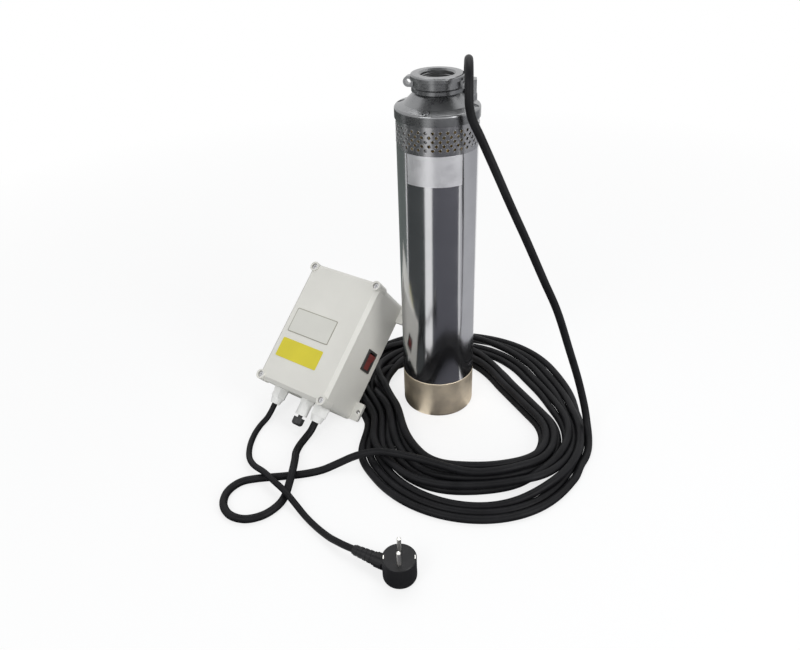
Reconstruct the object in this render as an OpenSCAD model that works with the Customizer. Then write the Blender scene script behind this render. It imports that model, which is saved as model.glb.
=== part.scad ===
// Borehole submersible pump with its control box, motor cable and mains lead.
// Millimetres, +Z up along the pump's axis, origin at the centre of the pump's base.

/* [Casing] */
// Outer diameter of the pump casing
casing_d = 98; // [96:1:110]
// Wall of the motor shell
shell_wall = 2; // [1.5:0.5:3]
// Height of the bottom cap below the motor shell
cap_h = 57; // [50:1:80]
// Radius of the bottom cap's lower edge
cap_edge_r = 5; // [2:0.5:8]
// Length of the motor shell
motor_shell_h = 263; // [250:1:320]
// Thickness of the bearing bracket's flange between motor shell and oil chamber
flange_t = 4; // [3:0.5:8]
// Height of the oil chamber
oil_chamber_h = 54; // [50:1:80]
// Height of the suction strainer
strainer_h = 34; // [33:1:50]
// Wall of the suction strainer
strainer_wall = 1.2; // [1:0.1:2]
// Diameter of the strainer's holes
strainer_hole_d = 4; // [2:0.1:4.5]
// Number of holes in one row round the strainer
strainer_columns = 36; // [24:1:44]
// Number of rows of strainer holes
strainer_rows = 5; // [3:1:5]

/* [Discharge head] */
// Height of the head's base ring
head_ring_h = 13; // [11:1:20]
// How far the base ring stands proud of the casing
head_ring_proud = 1.5; // [0:0.5:3]
// Height of the shoulder between base ring and collar
shoulder_h = 15; // [10:1:25]
// Height of the collar
collar_h = 20; // [18:1:30]
// Diameter of the collar
collar_d = 56; // [52:1:62]
// Diameter of the discharge port at the crests of its pipe thread
port_d = 38.95; // [30:0.05:42]
// Depth of the discharge port
port_depth = 24; // [18:1:30]
// Diameter of the rope eyes' holes
rope_hole_d = 6.5; // [5:0.5:8]
// Thickness of the rope eyes
rope_eye_t = 10; // [6:1:14]
// Diameter of the boss that holds the cable gland
gland_boss_d = 23; // [22:1:26]
// Height of the cable boss above the head's base
gland_boss_h = 19; // [16:1:24]
// Height of the gland nut
gland_nut_h = 17; // [10:1:20]
// Width across the flats of the gland nut
gland_nut_af = 21; // [20:1:24]

/* [Pump chamber] */
// Thickness of the impeller
impeller_t = 12; // [10:1:13]
// Number of vanes round the impeller
vane_count = 30; // [20:1:36]
// Radial depth of the vane pockets
vane_depth = 6; // [4:0.5:8]
// Width of one vane pocket
vane_pocket_w = 3.2; // [2:0.2:3.6]
// Thickness of the web between the two rows of vanes
vane_web_t = 3; // [2:0.5:5]
// Width of the flow channel outside the impeller's rim
channel_w = 3; // [2:0.5:4]
// Depth of the flow channel beside the vanes
channel_depth = 4; // [2:0.5:5]
// Wall of the pump chamber outside the channel
chamber_wall = 2.6; // [2:0.2:4]
// Thickness of the chamber's floor
chamber_floor_t = 9; // [8:0.5:12]

/* [Motor] */
// Diameter of the shaft in its bearings
shaft_d = 15; // [14:1:17]
// Outer diameter of the ball bearings
bearing_od = 35; // [32:1:38]
// Width of the ball bearings
bearing_t = 11; // [9:1:13]
// Diameter of the rotor
rotor_d = 47; // [44:1:50]
// Gap between rotor and stator
air_gap = 0.5; // [0.3:0.1:1]
// Length of the rotor and stator stacks
stack_h = 150; // [120:5:160]
// Number of stator slots
slot_count = 24; // [18:6:24]
// Length of the windings beyond each end of the stack
end_turn_h = 24; // [15:1:28]

/* [Control box] */
// Width of the box
box_w = 120; // [110:1:140]
// Height of the box
box_h = 182; // [160:1:200]
// Depth of the base
box_base_d = 62; // [60:1:75]
// Depth of the lid
box_lid_d = 20; // [14:1:40]
// Wall of the box
box_wall = 3.5; // [3:0.5:4.5]
// Radius of the box's corners
box_corner_r = 9; // [6:1:12]
// Chamfer round the lid's front
lid_chamfer = 5; // [2:0.5:6]
// Diameter of the screw holes in the lugs
lug_hole_d = 5.4; // [4:0.2:7]
// Lean of the box, measured from the floor
box_tilt = 40; // [35:1:90]
// Turn of the box about the vertical
box_yaw = -36; // [-60:1:0]

/* [Controls] */
// Length of the power switch's bezel
switch_l = 31; // [30:1:34]
// Width of the power switch's bezel
switch_w = 23; // [22:1:26]
// Swing of the rocker between off and on
rocker_swing = 22; // [16:1:24]
// Diameter of the reset button's rubber cap
reset_cap_d = 16; // [12:1:18]
// Travel of the reset button
reset_travel = 3; // [2:0.5:4]

/* [Cords] */
// Diameter of the motor cable
cable_d = 10; // [9:0.5:10.5]
// Diameter of the power cord
power_cord_d = 8; // [7:0.5:8.5]
// Diameter of the plug's face
plug_d = 38; // [37:1:42]
// Height of the plug's body
plug_h = 32; // [28:1:36]
// Diameter of the plug's pins
plug_pin_d = 4.8; // [4:0.1:5]
// Length of the plug's pins
plug_pin_l = 19; // [17:1:20]

/* [Fits] */
// Clearance between pieces that locate each other
fit_gap = 0.05; // [0.02:0.01:0.1]
// Clearance between pieces that move past each other
run_gap = 0.4; // [0.3:0.05:0.5]

/* [Hidden] */
$fn = 64;
// Overshoot of a cut past the face that it opens
cut = 0.5;

// Levels of the pump, from the base up
z_shell = cap_h;
z_flange = z_shell + motor_shell_h;
z_oil = z_flange + flange_t;
z_strainer = z_oil + oil_chamber_h;
z_head = z_strainer + strainer_h;
z_collar = z_head + head_ring_h + shoulder_h;
z_top = z_collar + collar_h;

// Radii of the casing
r_casing = casing_d / 2;
r_bore = r_casing - shell_wall;
r_spigot = r_bore - fit_gap;
r_strainer_in = r_casing - strainer_wall;
r_head = r_casing + head_ring_proud;
spigot_h = 16;
spigot_wall = 6;
rabbet_h = 3;
rabbet_wall = 3;

// Rubber rings in the spigots and under the head
ring_d = 1.4;
ring_groove_w = 2;
ring_groove_depth = ring_d + fit_gap;
ring_edge = 4;

// Motor lead, which runs from the gland down to the windings
lead_edge = 4;
lead_r = r_casing - lead_edge - cable_d / 2;
lead_angle = 25;
lead_hole_r = cable_d / 2 + 0.3;
lead_x = lead_r * cos(lead_angle);
lead_y = lead_r * sin(lead_angle);

// Long screws that clamp the head to the oil chamber
screw_r = 2.5;
screw_head_r = 4.2;
screw_head_h = 5;
screw_hole_r = screw_r + 0.25;
screw_counterbore_r = screw_head_r + 0.4;
screw_circle_r = r_strainer_in - 3.5;
screw_sunk = 6;
screw_grip = 12;
screw_angles = [70, 160, 250, 340];
screw_socket_af = 4;
z_screw_head = z_head + head_ring_h - screw_sunk;

// Pump chamber and impeller
chamber_r = lead_r - cable_d / 2 - run_gap;
impeller_r = chamber_r - chamber_wall - channel_w;
vane_root_r = impeller_r - vane_depth;
z_impeller = z_strainer + chamber_floor_t + run_gap;
z_impeller_top = z_impeller + impeller_t;
z_cover = z_impeller_top + run_gap;
channel_angle = 310;
port_hole_r = 4.5;
cover_seat_w = 6;
head_cavity_r = chamber_r - cover_seat_w;
nut_recess_r = 11;
nut_recess_h = 9.5;
impeller_nut_af = 16;
impeller_nut_h = 6.5;
hub_hole_r = 2;
hub_hole_count = 3;

// Shaft and bearings
shaft_r = shaft_d / 2;
rotor_seat_r = shaft_r + 2.5;
seal_shaft_r = shaft_r - 0.5;
impeller_shaft_r = shaft_r - 1.5;
shaft_end_gap = 3;
bearing_seat_gap = 4;
bearing_split_r = (shaft_r + bearing_od / 2) / 2 - 1;
bearing_race_gap = 0.3;
bearing_relief_r = bearing_split_r + 1.5;
z_cap_top = cap_h + spigot_h;
z_lower_bearing = cap_h + bearing_seat_gap;
z_shaft_end = z_lower_bearing - shaft_end_gap;
z_upper_bearing_top = z_flange - 2;
z_upper_bearing = z_upper_bearing_top - bearing_t;
hub_r = bearing_od / 2 + 5;
web_t = 6;
z_web = z_oil - web_t;

// Stator and rotor
rotor_r = rotor_d / 2;
stator_bore_r = rotor_r + air_gap;
stack_foot = 58;
z_stack = cap_h + stack_foot;
z_stack_top = z_stack + stack_h;
slot_inner_r = stator_bore_r + 2;
slot_w = 4;
slot_depth = 12;
slot_gap = 0.25;
end_turn_in_r = slot_inner_r + 0.5;
end_turn_out_r = slot_inner_r + slot_depth + 1;
end_ring_h = 10;
end_ring_in_r = rotor_r - 9;
end_ring_out_r = rotor_r - 1;
z_winding_top = z_stack_top + end_turn_h;
lead_end_gap = 0.3;

// Oil chamber and shaft seal
oil_plate_t = 10;
oil_cavity_r = 30;
z_oil_plate = z_strainer - oil_plate_t;
seat_r = 12.5;
seat_h = 8;
seat_bore_r = seal_shaft_r + 1;
seal_face_gap = 0.3;
seal_ring_h = 7;
seal_ring_r = 11.5;
bellows_h = 15;
bellows_folds = 3;
bellows_r = 10.5;
bellows_fold = 2;
locating_rim_h = 6;

// Cable gland on the head
z_boss = z_head + gland_boss_h;
z_gland_top = z_boss + gland_nut_h;
stuffing_r = 8.5;
stuffing_floor = 5;
gland_nose_h = 4;
gland_spot_r = gland_nut_af / sqrt(3) + run_gap;

// Discharge head
collar_r = collar_d / 2;
neck_r = collar_r - 1;
shoulder_foot_r = r_head - 11;
shoulder_foot_rise = 2.5;
z_shoulder_foot = z_head + head_ring_h + shoulder_foot_rise;
collar_joint_drop = 4;
z_joint = z_collar - collar_joint_drop;
joint_r = neck_r + (shoulder_foot_r - neck_r) * collar_joint_drop / (z_collar - z_shoulder_foot);
collar_spigot_h = 3;
collar_spigot_r = port_d / 2 + 4;
rim_proud = 3;
rim_h = 6;
bead_proud = 2;
bead_h = 5;
head_edge_r = 3;
port_step = 1.5;
port_chamfer = 2;
rope_angle = -15;
rope_eye_wall = 2.75;
rope_hole_gap = 2;
rope_hole_out = collar_r + rope_hole_d / 2 + rope_hole_gap;
rope_eye_r = rope_hole_d / 2 + rope_eye_wall;
z_rope_hole = z_collar + collar_h / 2;

// Bottom cap
cap_groove_w = 1;

// Control box, drawn upright about its lower back edge and then leaned
box_pos = [-175.5, -14.7, 0];
box_d = box_base_d + box_lid_d;
post_r = 5;
post_inset = 5.5;
post_hole_r = 1.8;
post_hole_depth = 16;
boss_r = 7;
boss_proud = 1.5;
lid_screw_r = 1.75;
lid_screw_hole_r = 2.3;
lid_screw_head_r = 3.8;
lid_screw_head_h = 3;
lid_screw_grip = 12;
lid_screw_well_r = 4.4;
lid_screw_well = 5;
lid_wall = 3;
gasket_w = 1.2;
gasket_t = 1.5;
gasket_inset = 0.8;
lug_t = 5;
lug_half_w = 13;
lug_reach = 8;
lug_end = 13;
box_foot_chamfer = 1.5;

// Capacitor, its clamp and the terminal block
capacitor_r = 19;
capacitor_h = 76;
capacitor_x = -20;
capacitor_z = 72;
capacitor_tab_w = 6;
capacitor_tab_h = 9;
capacitor_tab_t = 0.8;
clamp_w = 16;
clamp_t = 1.5;
clamp_gap = 0.3;
clamp_z = 30;
clamp_foot_l = 12;
terminal_x = 24;
terminal_z = 50;
terminal_w = 50;
terminal_h = 20;
terminal_d = 18;
terminal_poles = 5;
terminal_screw_r = 2.4;
terminal_screw_h = 4;
terminal_well_r = 2.8;
terminal_well = 6;

// Overload protector and its reset button
overload_x = box_w / 2 - 47;
overload_y = -48;
overload_neck_r = 5.5;
overload_r = 9.5;
overload_h = 28;
overload_nut_r = 8.5;
overload_nut_h = 23;
overload_bore_r = 3.6;
overload_bore_depth = 20;
reset_stem_r = 3.2;
reset_stem_l = 26;
reset_gap = 0.6;
reset_cap_h = 11;
reset_cap_edge = 4;

// Power switch on the right wall
switch_y = -25;
switch_z = 84;
switch_bezel_t = 2;
switch_body_l = switch_l - 3;
switch_body_w = switch_w - 4;
switch_body_depth = 20;
switch_pocket_l = switch_l - 5.6;
switch_pocket_w = switch_w - 8;
switch_pocket_depth = 15;
rocker_pivot_depth = 6;
rocker_w = switch_pocket_w - 2 * run_gap;
rocker_half_l = 11;
rocker_half_base = 7.5;
rocker_base = 5;
rocker_crest = 5;
rocker_side = 3;
rocker_pin_r = 1.5;
rocker_pin_l = 1.6;
rocker_pin_gap = 0.3;
rocker_tip = rocker_crest + rocker_half_l * tan(rocker_swing / 2);

// Cable glands under the box
power_gland_x = 23 - box_w / 2;
power_gland_y = -46;
motor_gland_x = box_w / 2 - 24;
motor_gland_y = -43;
gland_thread_wall = 4;
gland_hex_h = 5;
gland_cap_h = 18;
gland_cap_tip = 2.6;
gland_neck_in = 11;
gland_lock_h = 4;
gland_cord_gap = 0.15;

// Motor cable: arch over the head, drop, coil and tail, as points along its centre
lead_out = 14;
motor_lead_out = 6;
cable_drop_points = [
    [lead_x, lead_y, z_gland_top + lead_end_gap],
    [36, 15, 457.5],
    [35.4, 9, 466],
    [34.7, 0.5, 472],
    [34.1, -8.5, 475.2],
    [33.5, -17, 476],
    [32.5, -29, 474],
    [31.5, -41, 466],
    [31, -50, 451],
    [31.5, -53, 436],
    [35.5, -54, 420],
    [44, -54, 402],
    [62, -56, 363],
    [81, -58, 321],
    [103, -61, 274],
    [126, -64, 223],
    [146, -68, 179],
    [165, -73, 124],
    [179, -78, 82],
    [188, -84, 50],
    [193, -93, 28],
    [194, -102, 17]
];
coil_near = [47, -94];
coil_near_out_r = 152;
coil_near_in_r = 76;
coil_far = [10, 0];
coil_far_out_r = 140;
coil_far_in_r = 88;
coil_near_h = 28;
coil_far_h = 42;
coil_gap = 0.3;
cable_tail_points = [
    [-84, -144, 22],
    [-104, -142, 15],
    [-123, -144, 9],
    [-146, -150, 5.5],
    [-174, -158, 5],
    [-205, -161, 5],
    [-238, -164, 5],
    [-263, -174, 5],
    [-277, -193, 5],
    [-274, -216, 5],
    [-255, -231, 5],
    [-230, -230, 5],
    [-211, -216, 5],
    [-202, -199, 6],
    [-197, -178, 12],
    [-194.5, -159, 15.5],
    [-194.5, -138, 12.5],
    [-194.5, -117, 7.5],
    [-190.5, -97, 5.2],
    [-185.3, -89.5, 6],
    [-180, -82.2, 9.4]
];
power_cord_points = [
    [-251, -56, 5],
    [-258, -77, 4.2],
    [-260, -100, 4],
    [-257, -124, 5.5],
    [-247, -145, 10.5],
    [-231, -163, 15],
    [-215, -182, 16],
    [-201, -198, 16],
    [-187, -214, 10],
    [-173, -231, 5],
    [-158, -249, 5],
    [-143, -266, 8.5]
];
cord_sides = 10;
cord_steps = 2;

// Plug, which lies on its back with its pins up
plug_pos = [-62, -319];
plug_yaw = -30;
plug_floor = 1;
plug_top = plug_floor + plug_h;
plug_edge = 5;
plug_entry_z = 13;
plug_neck_r = 8.5;
plug_neck_l = 10;
relief_l = 30;
relief_r = 7.2;
relief_tip_r = power_cord_d / 2 + 1.2;
relief_ribs = 5;
relief_rib = 0.8;
plug_pin_span = 19;
plug_pin_turn = 28;
plug_pin_seat = 8;
plug_pin_edge = 1.6;
clip_w = 5;
clip_t = 1;
clip_depth = 2.4;
clip_h = 22;

// General shapes
function arc(centre, r, from, to, steps) =
    [for (i = [0 : steps]) let (a = from + (to - from) * i / steps) centre + r * [cos(a), sin(a)]];

function unit(v) = v / norm(v);

// One point on the smooth curve between points b and c
function between(a, b, c, d, t) =
    b + t / 2 * (c - a + t * (2 * a - 5 * b + 4 * c - d + t * (3 * (b - c) + d - a)));

// A smooth curve through a list of points, with the given number of steps between two of them
function smooth(points, steps) = let (last = len(points) - 1) [
    for (i = [0 : last - 1]) for (s = [0 : steps - 1])
        between(points[max(i - 1, 0)], points[i], points[i + 1], points[min(i + 2, last)], s / steps),
    points[last]
];

function heading(path, i) = unit(path[min(i + 1, len(path) - 1)] - path[max(i - 1, 0)]);

function ring_points(p, along, across, r, sides) =
    let (u = unit(cross(across, along)), v = cross(along, u))
    [for (k = [0 : sides - 1]) p + r * (cos(360 * k / sides) * u + sin(360 * k / sides) * v)];

module cord_tube(path, d, across) {
    n = len(path);
    m = cord_sides;
    polyhedron(
        points = [for (i = [0 : n - 1]) each ring_points(path[i], heading(path, i), across, d / 2, m)],
        faces = concat(
            [[for (k = [0 : m - 1]) k]],
            [for (i = [0 : n - 2]) for (k = [0 : m - 1])
                each [
                    [i * m + k, (i + 1) * m + k, (i + 1) * m + (k + 1) % m],
                    [i * m + k, (i + 1) * m + (k + 1) % m, i * m + (k + 1) % m]
                ]],
            [[for (k = [m - 1 : -1 : 0]) (n - 1) * m + k]]
        )
    );
}

module tube(r_out, r_in, h) {
    difference() {
        cylinder(r = r_out, h = h);
        translate([0, 0, -cut]) cylinder(r = r_in, h = h + 2 * cut);
    }
}

module hexagon(across_flats, h) {
    cylinder(r = across_flats / sqrt(3), h = h, $fn = 6);
}

module rounded_rect(w, h, r) {
    square([w - 2 * r, h], center = true);
    square([w, h - 2 * r], center = true);
    for (x = [-1, 1]) for (y = [-1, 1]) translate([x * (w / 2 - r), y * (h / 2 - r)]) circle(r = r);
}

module at_polar(r, angle) {
    rotate([0, 0, angle]) translate([r, 0, 0]) children();
}

module at_lead() {
    at_polar(lead_r, lead_angle) children();
}

module lead_hole(z, h) {
    translate([0, 0, z - cut]) at_lead() cylinder(r = lead_hole_r, h = h + 2 * cut);
}

// Pump casing
module spigot_groove(z) {
    translate([0, 0, z]) difference() {
        cylinder(r = r_bore + cut, h = ring_groove_w);
        cylinder(r = r_bore - ring_groove_depth, h = ring_groove_w);
    }
}

module bottom_cap() color("tan") difference() {
    rotate_extrude() polygon(concat(
        [[0, 0]],
        arc([r_casing - cap_edge_r, cap_edge_r], cap_edge_r, -90, 0, 8),
        [
            [r_casing, cap_h - cap_groove_w], [r_casing - cap_groove_w, cap_h],
            [r_spigot, cap_h], [r_spigot, z_cap_top], [0, z_cap_top]
        ]));
    translate([0, 0, z_lower_bearing]) cylinder(r = bearing_od / 2, h = z_cap_top);
    translate([0, 0, z_shaft_end - shaft_end_gap]) cylinder(r = bearing_relief_r, h = z_cap_top);
    spigot_groove(cap_h + ring_edge);
}

module motor_shell() color("silver") translate([0, 0, z_shell]) tube(r_casing, r_bore, motor_shell_h);

module motor_top_bracket() color("gainsboro") difference() {
    union() {
        translate([0, 0, z_flange]) cylinder(r = r_casing, h = flange_t);
        translate([0, 0, z_web]) cylinder(r = r_spigot, h = web_t);
        translate([0, 0, z_flange - spigot_h]) tube(r_spigot, r_spigot - spigot_wall, spigot_h);
        translate([0, 0, z_upper_bearing]) cylinder(r = hub_r, h = z_oil - z_upper_bearing);
        translate([0, 0, z_oil]) tube(oil_cavity_r - fit_gap, oil_cavity_r - rabbet_wall, locating_rim_h);
    }
    translate([0, 0, z_upper_bearing - cut]) cylinder(r = bearing_od / 2, h = bearing_t + cut);
    translate([0, 0, z_upper_bearing]) cylinder(r = bearing_relief_r, h = bearing_t + run_gap);
    translate([0, 0, z_upper_bearing]) cylinder(r = shaft_r + run_gap, h = z_oil);
    spigot_groove(z_flange - ring_edge - ring_groove_w);
    lead_hole(z_flange - spigot_h, spigot_h + flange_t);
}

module oil_chamber() color("silver") difference() {
    union() {
        translate([0, 0, z_oil]) cylinder(r = r_casing, h = oil_chamber_h);
        translate([0, 0, z_strainer])
            tube(r_strainer_in - fit_gap, r_strainer_in - rabbet_wall, rabbet_h);
    }
    translate([0, 0, z_oil - cut]) cylinder(r = oil_cavity_r, h = oil_chamber_h - oil_plate_t + cut);
    translate([0, 0, z_oil]) cylinder(r = seat_r, h = oil_chamber_h - oil_plate_t + seat_h);
    translate([0, 0, z_oil]) cylinder(r = seat_bore_r, h = oil_chamber_h + cut);
    lead_hole(z_oil, oil_chamber_h + rabbet_h);
    for (a = screw_angles) translate([0, 0, z_strainer - screw_grip - 1])
        at_polar(screw_circle_r, a) cylinder(r = screw_r, h = screw_grip + rabbet_h + cut + 1);
}

module suction_strainer() color("silver") {
    row_margin = rabbet_h + strainer_hole_d;
    row_step = (strainer_h - 2 * row_margin) / (strainer_rows - 1);
    column_step = 360 / strainer_columns;
    translate([0, 0, z_strainer]) difference() {
        tube(r_casing, r_strainer_in, strainer_h);
        for (row = [0 : strainer_rows - 1]) for (column = [0 : strainer_columns - 1])
            rotate([0, 0, (column + (row % 2) / 2) * column_step])
                translate([r_strainer_in - cut, 0, row_margin + row * row_step])
                    rotate([0, 90, 0]) cylinder(d = strainer_hole_d, h = strainer_wall + 2 * cut);
    }
}

// Discharge head, with a sloping shoulder, a seat for the outlet collar and a boss for the cable
module head_body() {
    rotate_extrude() polygon(concat(
        [[0, z_head], [r_head, z_head]],
        arc([r_head - head_edge_r, z_head + head_ring_h - head_edge_r], head_edge_r, 0, 90, 6),
        [[shoulder_foot_r, z_shoulder_foot], [joint_r, z_joint], [0, z_joint]]));
}

// Outlet collar, which sits in the head and carries the threaded outlet and the rope eyes
module collar_body() {
    rotate_extrude() polygon(concat(
        [
            [0, z_joint - collar_spigot_h],
            [collar_spigot_r, z_joint - collar_spigot_h],
            [collar_spigot_r, z_joint],
            [joint_r, z_joint],
            [neck_r, z_collar],
            [collar_r + bead_proud, z_collar + 1],
            [collar_r + bead_proud, z_collar + bead_h],
            [collar_r, z_collar + bead_h + 1],
            [collar_r, z_top - rim_h - 1],
            [collar_r + rim_proud, z_top - rim_h]
        ],
        arc([collar_r + rim_proud - 2, z_top - 2], 2, 0, 90, 4),
        [[0, z_top]]));
}

module rope_eye() {
    rotate([90, 0, 0]) translate([0, 0, -rope_eye_t / 2]) linear_extrude(rope_eye_t) {
        translate([rope_hole_out, 0]) circle(r = rope_eye_r);
        translate([neck_r - 3, -rope_eye_r]) square([rope_hole_out - neck_r + 3, 2 * rope_eye_r]);
    }
}

module port_bore() {
    translate([0, 0, z_top - port_depth]) cylinder(d = port_d, h = port_depth + cut);
    translate([0, 0, z_top - port_chamfer])
        cylinder(r1 = port_d / 2, r2 = port_d / 2 + port_chamfer + cut, h = port_chamfer + cut);
}

// Room for the gland nut beside the collar
module gland_spot() {
    translate([0, 0, z_boss]) at_lead() cylinder(r = gland_spot_r, h = gland_nut_h + run_gap);
}

module head_bores() {
    port_bore();
    gland_spot();
    rotate_extrude() polygon([
        [0, z_head - rabbet_h - cut], [head_cavity_r, z_head - rabbet_h - cut], [head_cavity_r, z_head],
        [port_d / 2 - port_step, z_joint + cut], [0, z_joint + cut]
    ]);
    translate([0, 0, z_joint - collar_spigot_h - fit_gap])
        cylinder(r = collar_spigot_r + fit_gap, h = collar_spigot_h + fit_gap + cut);
    lead_hole(z_head - rabbet_h, gland_boss_h + rabbet_h);
    translate([0, 0, z_head + stuffing_floor]) at_lead() cylinder(r = stuffing_r, h = gland_boss_h);
    for (a = screw_angles) translate([0, 0, z_head]) at_polar(screw_circle_r, a) {
        translate([0, 0, -rabbet_h - cut]) cylinder(r = screw_hole_r, h = head_ring_h + rabbet_h);
        translate([0, 0, head_ring_h - screw_sunk]) cylinder(r = screw_counterbore_r, h = shoulder_h);
    }
}

module discharge_head() color("darkgray") difference() {
    union() {
        head_body();
        translate([0, 0, z_head]) at_lead() cylinder(d = gland_boss_d, h = gland_boss_h);
        translate([0, 0, z_head - rabbet_h])
            tube(r_strainer_in - fit_gap, r_strainer_in - rabbet_wall, rabbet_h);
    }
    head_bores();
}

module outlet_collar() color("darkgray") difference() {
    union() {
        collar_body();
        for (side = [0, 180]) rotate([0, 0, rope_angle + side]) translate([0, 0, z_rope_hole]) rope_eye();
    }
    port_bore();
    gland_spot();
    translate([0, 0, z_joint - collar_spigot_h - cut])
        cylinder(r = port_d / 2 - port_step, h = z_top - z_joint + collar_spigot_h);
    for (side = [0, 180]) rotate([0, 0, rope_angle + side]) translate([rope_hole_out, rope_eye_t, z_rope_hole])
        rotate([90, 0, 0]) cylinder(d = rope_hole_d, h = 2 * rope_eye_t);
}

module gland_nut() color("gray") at_lead() difference() {
    union() {
        translate([0, 0, z_boss]) hexagon(gland_nut_af, gland_nut_h);
        translate([0, 0, z_boss - gland_nose_h]) cylinder(r = stuffing_r - fit_gap, h = gland_nose_h);
    }
    translate([0, 0, z_boss - gland_nose_h - cut])
        cylinder(r = lead_hole_r, h = gland_nose_h + gland_nut_h + 2 * cut);
}

module gland_bush() color("black") at_lead() translate([0, 0, z_head + stuffing_floor])
    tube(stuffing_r - fit_gap, cable_d / 2 + fit_gap, gland_boss_h - stuffing_floor - gland_nose_h);

module head_screws() color("lightgray") for (a = screw_angles) at_polar(screw_circle_r, a) difference() {
    union() {
        translate([0, 0, z_strainer - screw_grip])
            cylinder(r = screw_r - fit_gap, h = z_screw_head - z_strainer + screw_grip);
        translate([0, 0, z_screw_head]) cylinder(r = screw_head_r, h = screw_head_h);
    }
    translate([0, 0, z_screw_head + screw_head_h / 2]) hexagon(screw_socket_af, screw_head_h);
}

// Pump chamber: the water enters at the start of the channel and leaves through the cover at its end
module channel(z, h) {
    translate([0, 0, z]) rotate_extrude(angle = channel_angle)
        translate([vane_root_r, 0]) square([impeller_r + channel_w - vane_root_r, h]);
}

module chamber_body() color("burlywood") {
    floor_z = z_strainer + chamber_floor_t;
    difference() {
        translate([0, 0, z_strainer]) cylinder(r = chamber_r, h = z_cover - z_strainer);
        translate([0, 0, floor_z]) cylinder(r = impeller_r + run_gap, h = strainer_h);
        translate([0, 0, z_strainer - cut]) cylinder(r = seal_shaft_r + run_gap, h = strainer_h);
        channel(floor_z - channel_depth, strainer_h);
        rotate([0, 0, port_hole_r * 2]) translate([impeller_r, 0, floor_z + port_hole_r / 2])
            rotate([0, 90, 0]) cylinder(r = port_hole_r, h = chamber_r);
    }
}

module chamber_cover() color("burlywood") difference() {
    translate([0, 0, z_cover]) cylinder(r = chamber_r, h = z_head - z_cover);
    translate([0, 0, z_cover - cut]) cylinder(r = nut_recess_r, h = nut_recess_h + cut);
    channel(z_cover - cut, channel_depth + cut);
    translate([0, 0, z_cover]) at_polar((vane_root_r + impeller_r) / 2, channel_angle - port_hole_r * 2)
        cylinder(r = port_hole_r, h = strainer_h);
    translate([0, 0, z_head - ring_groove_depth]) tube(
        head_cavity_r + ring_edge, head_cavity_r + ring_edge - ring_groove_w, ring_groove_depth + cut);
}

module impeller() color("goldenrod") difference() {
    translate([0, 0, z_impeller]) cylinder(r = impeller_r, h = impeller_t);
    translate([0, 0, z_impeller - cut]) cylinder(r = impeller_shaft_r + fit_gap, h = impeller_t + 2 * cut);
    for (i = [0 : vane_count - 1]) rotate([0, 0, i * 360 / vane_count]) {
        pocket_h = (impeller_t - vane_web_t) / 2;
        translate([vane_root_r, -vane_pocket_w / 2, z_impeller - cut])
            cube([2 * vane_depth, vane_pocket_w, pocket_h + cut]);
        translate([vane_root_r, -vane_pocket_w / 2, z_impeller_top - pocket_h])
            cube([2 * vane_depth, vane_pocket_w, pocket_h + cut]);
    }
    for (i = [0 : hub_hole_count - 1])
        translate([0, 0, z_impeller - cut]) at_polar(vane_root_r * 0.7, i * 360 / hub_hole_count)
            cylinder(r = hub_hole_r, h = impeller_t + 2 * cut);
}

module impeller_nut() color("lightgray") translate([0, 0, z_impeller_top]) difference() {
    hexagon(impeller_nut_af, impeller_nut_h);
    translate([0, 0, -cut]) cylinder(r = impeller_shaft_r + fit_gap, h = impeller_nut_h + 2 * cut);
}

// Shaft, bearings and shaft seal
module shaft() color("lightgray") rotate_extrude() polygon([
    [0, z_shaft_end], [shaft_r, z_shaft_end], [shaft_r, z_lower_bearing + bearing_t],
    [rotor_seat_r, z_lower_bearing + bearing_t], [rotor_seat_r, z_upper_bearing],
    [shaft_r, z_upper_bearing], [shaft_r, z_oil], [seal_shaft_r, z_oil], [seal_shaft_r, z_impeller],
    [impeller_shaft_r, z_impeller], [impeller_shaft_r, z_impeller_top + impeller_nut_h + 1],
    [0, z_impeller_top + impeller_nut_h + 1]
]);

module bearing_outer(z) {
    translate([0, 0, z]) tube(bearing_od / 2 - fit_gap, bearing_split_r + bearing_race_gap, bearing_t);
}

module bearing_inner(z) {
    translate([0, 0, z]) tube(bearing_split_r, shaft_r + fit_gap, bearing_t);
}

module upper_bearing_outer() color("gray") bearing_outer(z_upper_bearing);
module upper_bearing_inner() color("lightgray") bearing_inner(z_upper_bearing);
module lower_bearing_outer() color("gray") bearing_outer(z_lower_bearing);
module lower_bearing_inner() color("lightgray") bearing_inner(z_lower_bearing);

module seal_seat() color("white") translate([0, 0, z_oil_plate]) tube(seat_r - fit_gap, seat_bore_r, seat_h);

module seal_ring() color("dimgray") translate([0, 0, z_oil_plate - seal_face_gap - seal_ring_h])
    tube(seal_ring_r, seal_shaft_r + fit_gap, seal_ring_h);

module seal_bellows() color("black") {
    fold_h = bellows_h / bellows_folds;
    translate([0, 0, z_oil_plate - seal_face_gap - seal_ring_h - bellows_h]) rotate_extrude() polygon(concat(
        [[seal_shaft_r + fit_gap, 0], [bellows_r, 0]],
        [for (i = [0 : bellows_folds - 1]) each [
            [bellows_r - bellows_fold, (i + 0.5) * fold_h], [bellows_r, (i + 1) * fold_h]
        ]],
        [[seal_shaft_r + fit_gap, bellows_h]]));
}

module rubber_ring(r, z) {
    translate([0, 0, z]) rotate_extrude() translate([r, 0]) circle(d = ring_d);
}

module shell_seal_rings() color("black") for (z = [cap_h + ring_edge, z_flange - ring_edge - ring_groove_w])
    rubber_ring(r_bore - ring_d / 2 - fit_gap / 2, z + ring_groove_w / 2);

module head_seal_ring() color("black")
    rubber_ring(head_cavity_r + ring_edge - ring_groove_w / 2, z_head - ring_d / 2 - fit_gap / 2);

// Motor
module rotor_core() color("slategray") translate([0, 0, z_stack])
    tube(rotor_r, rotor_seat_r + fit_gap, stack_h);

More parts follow.
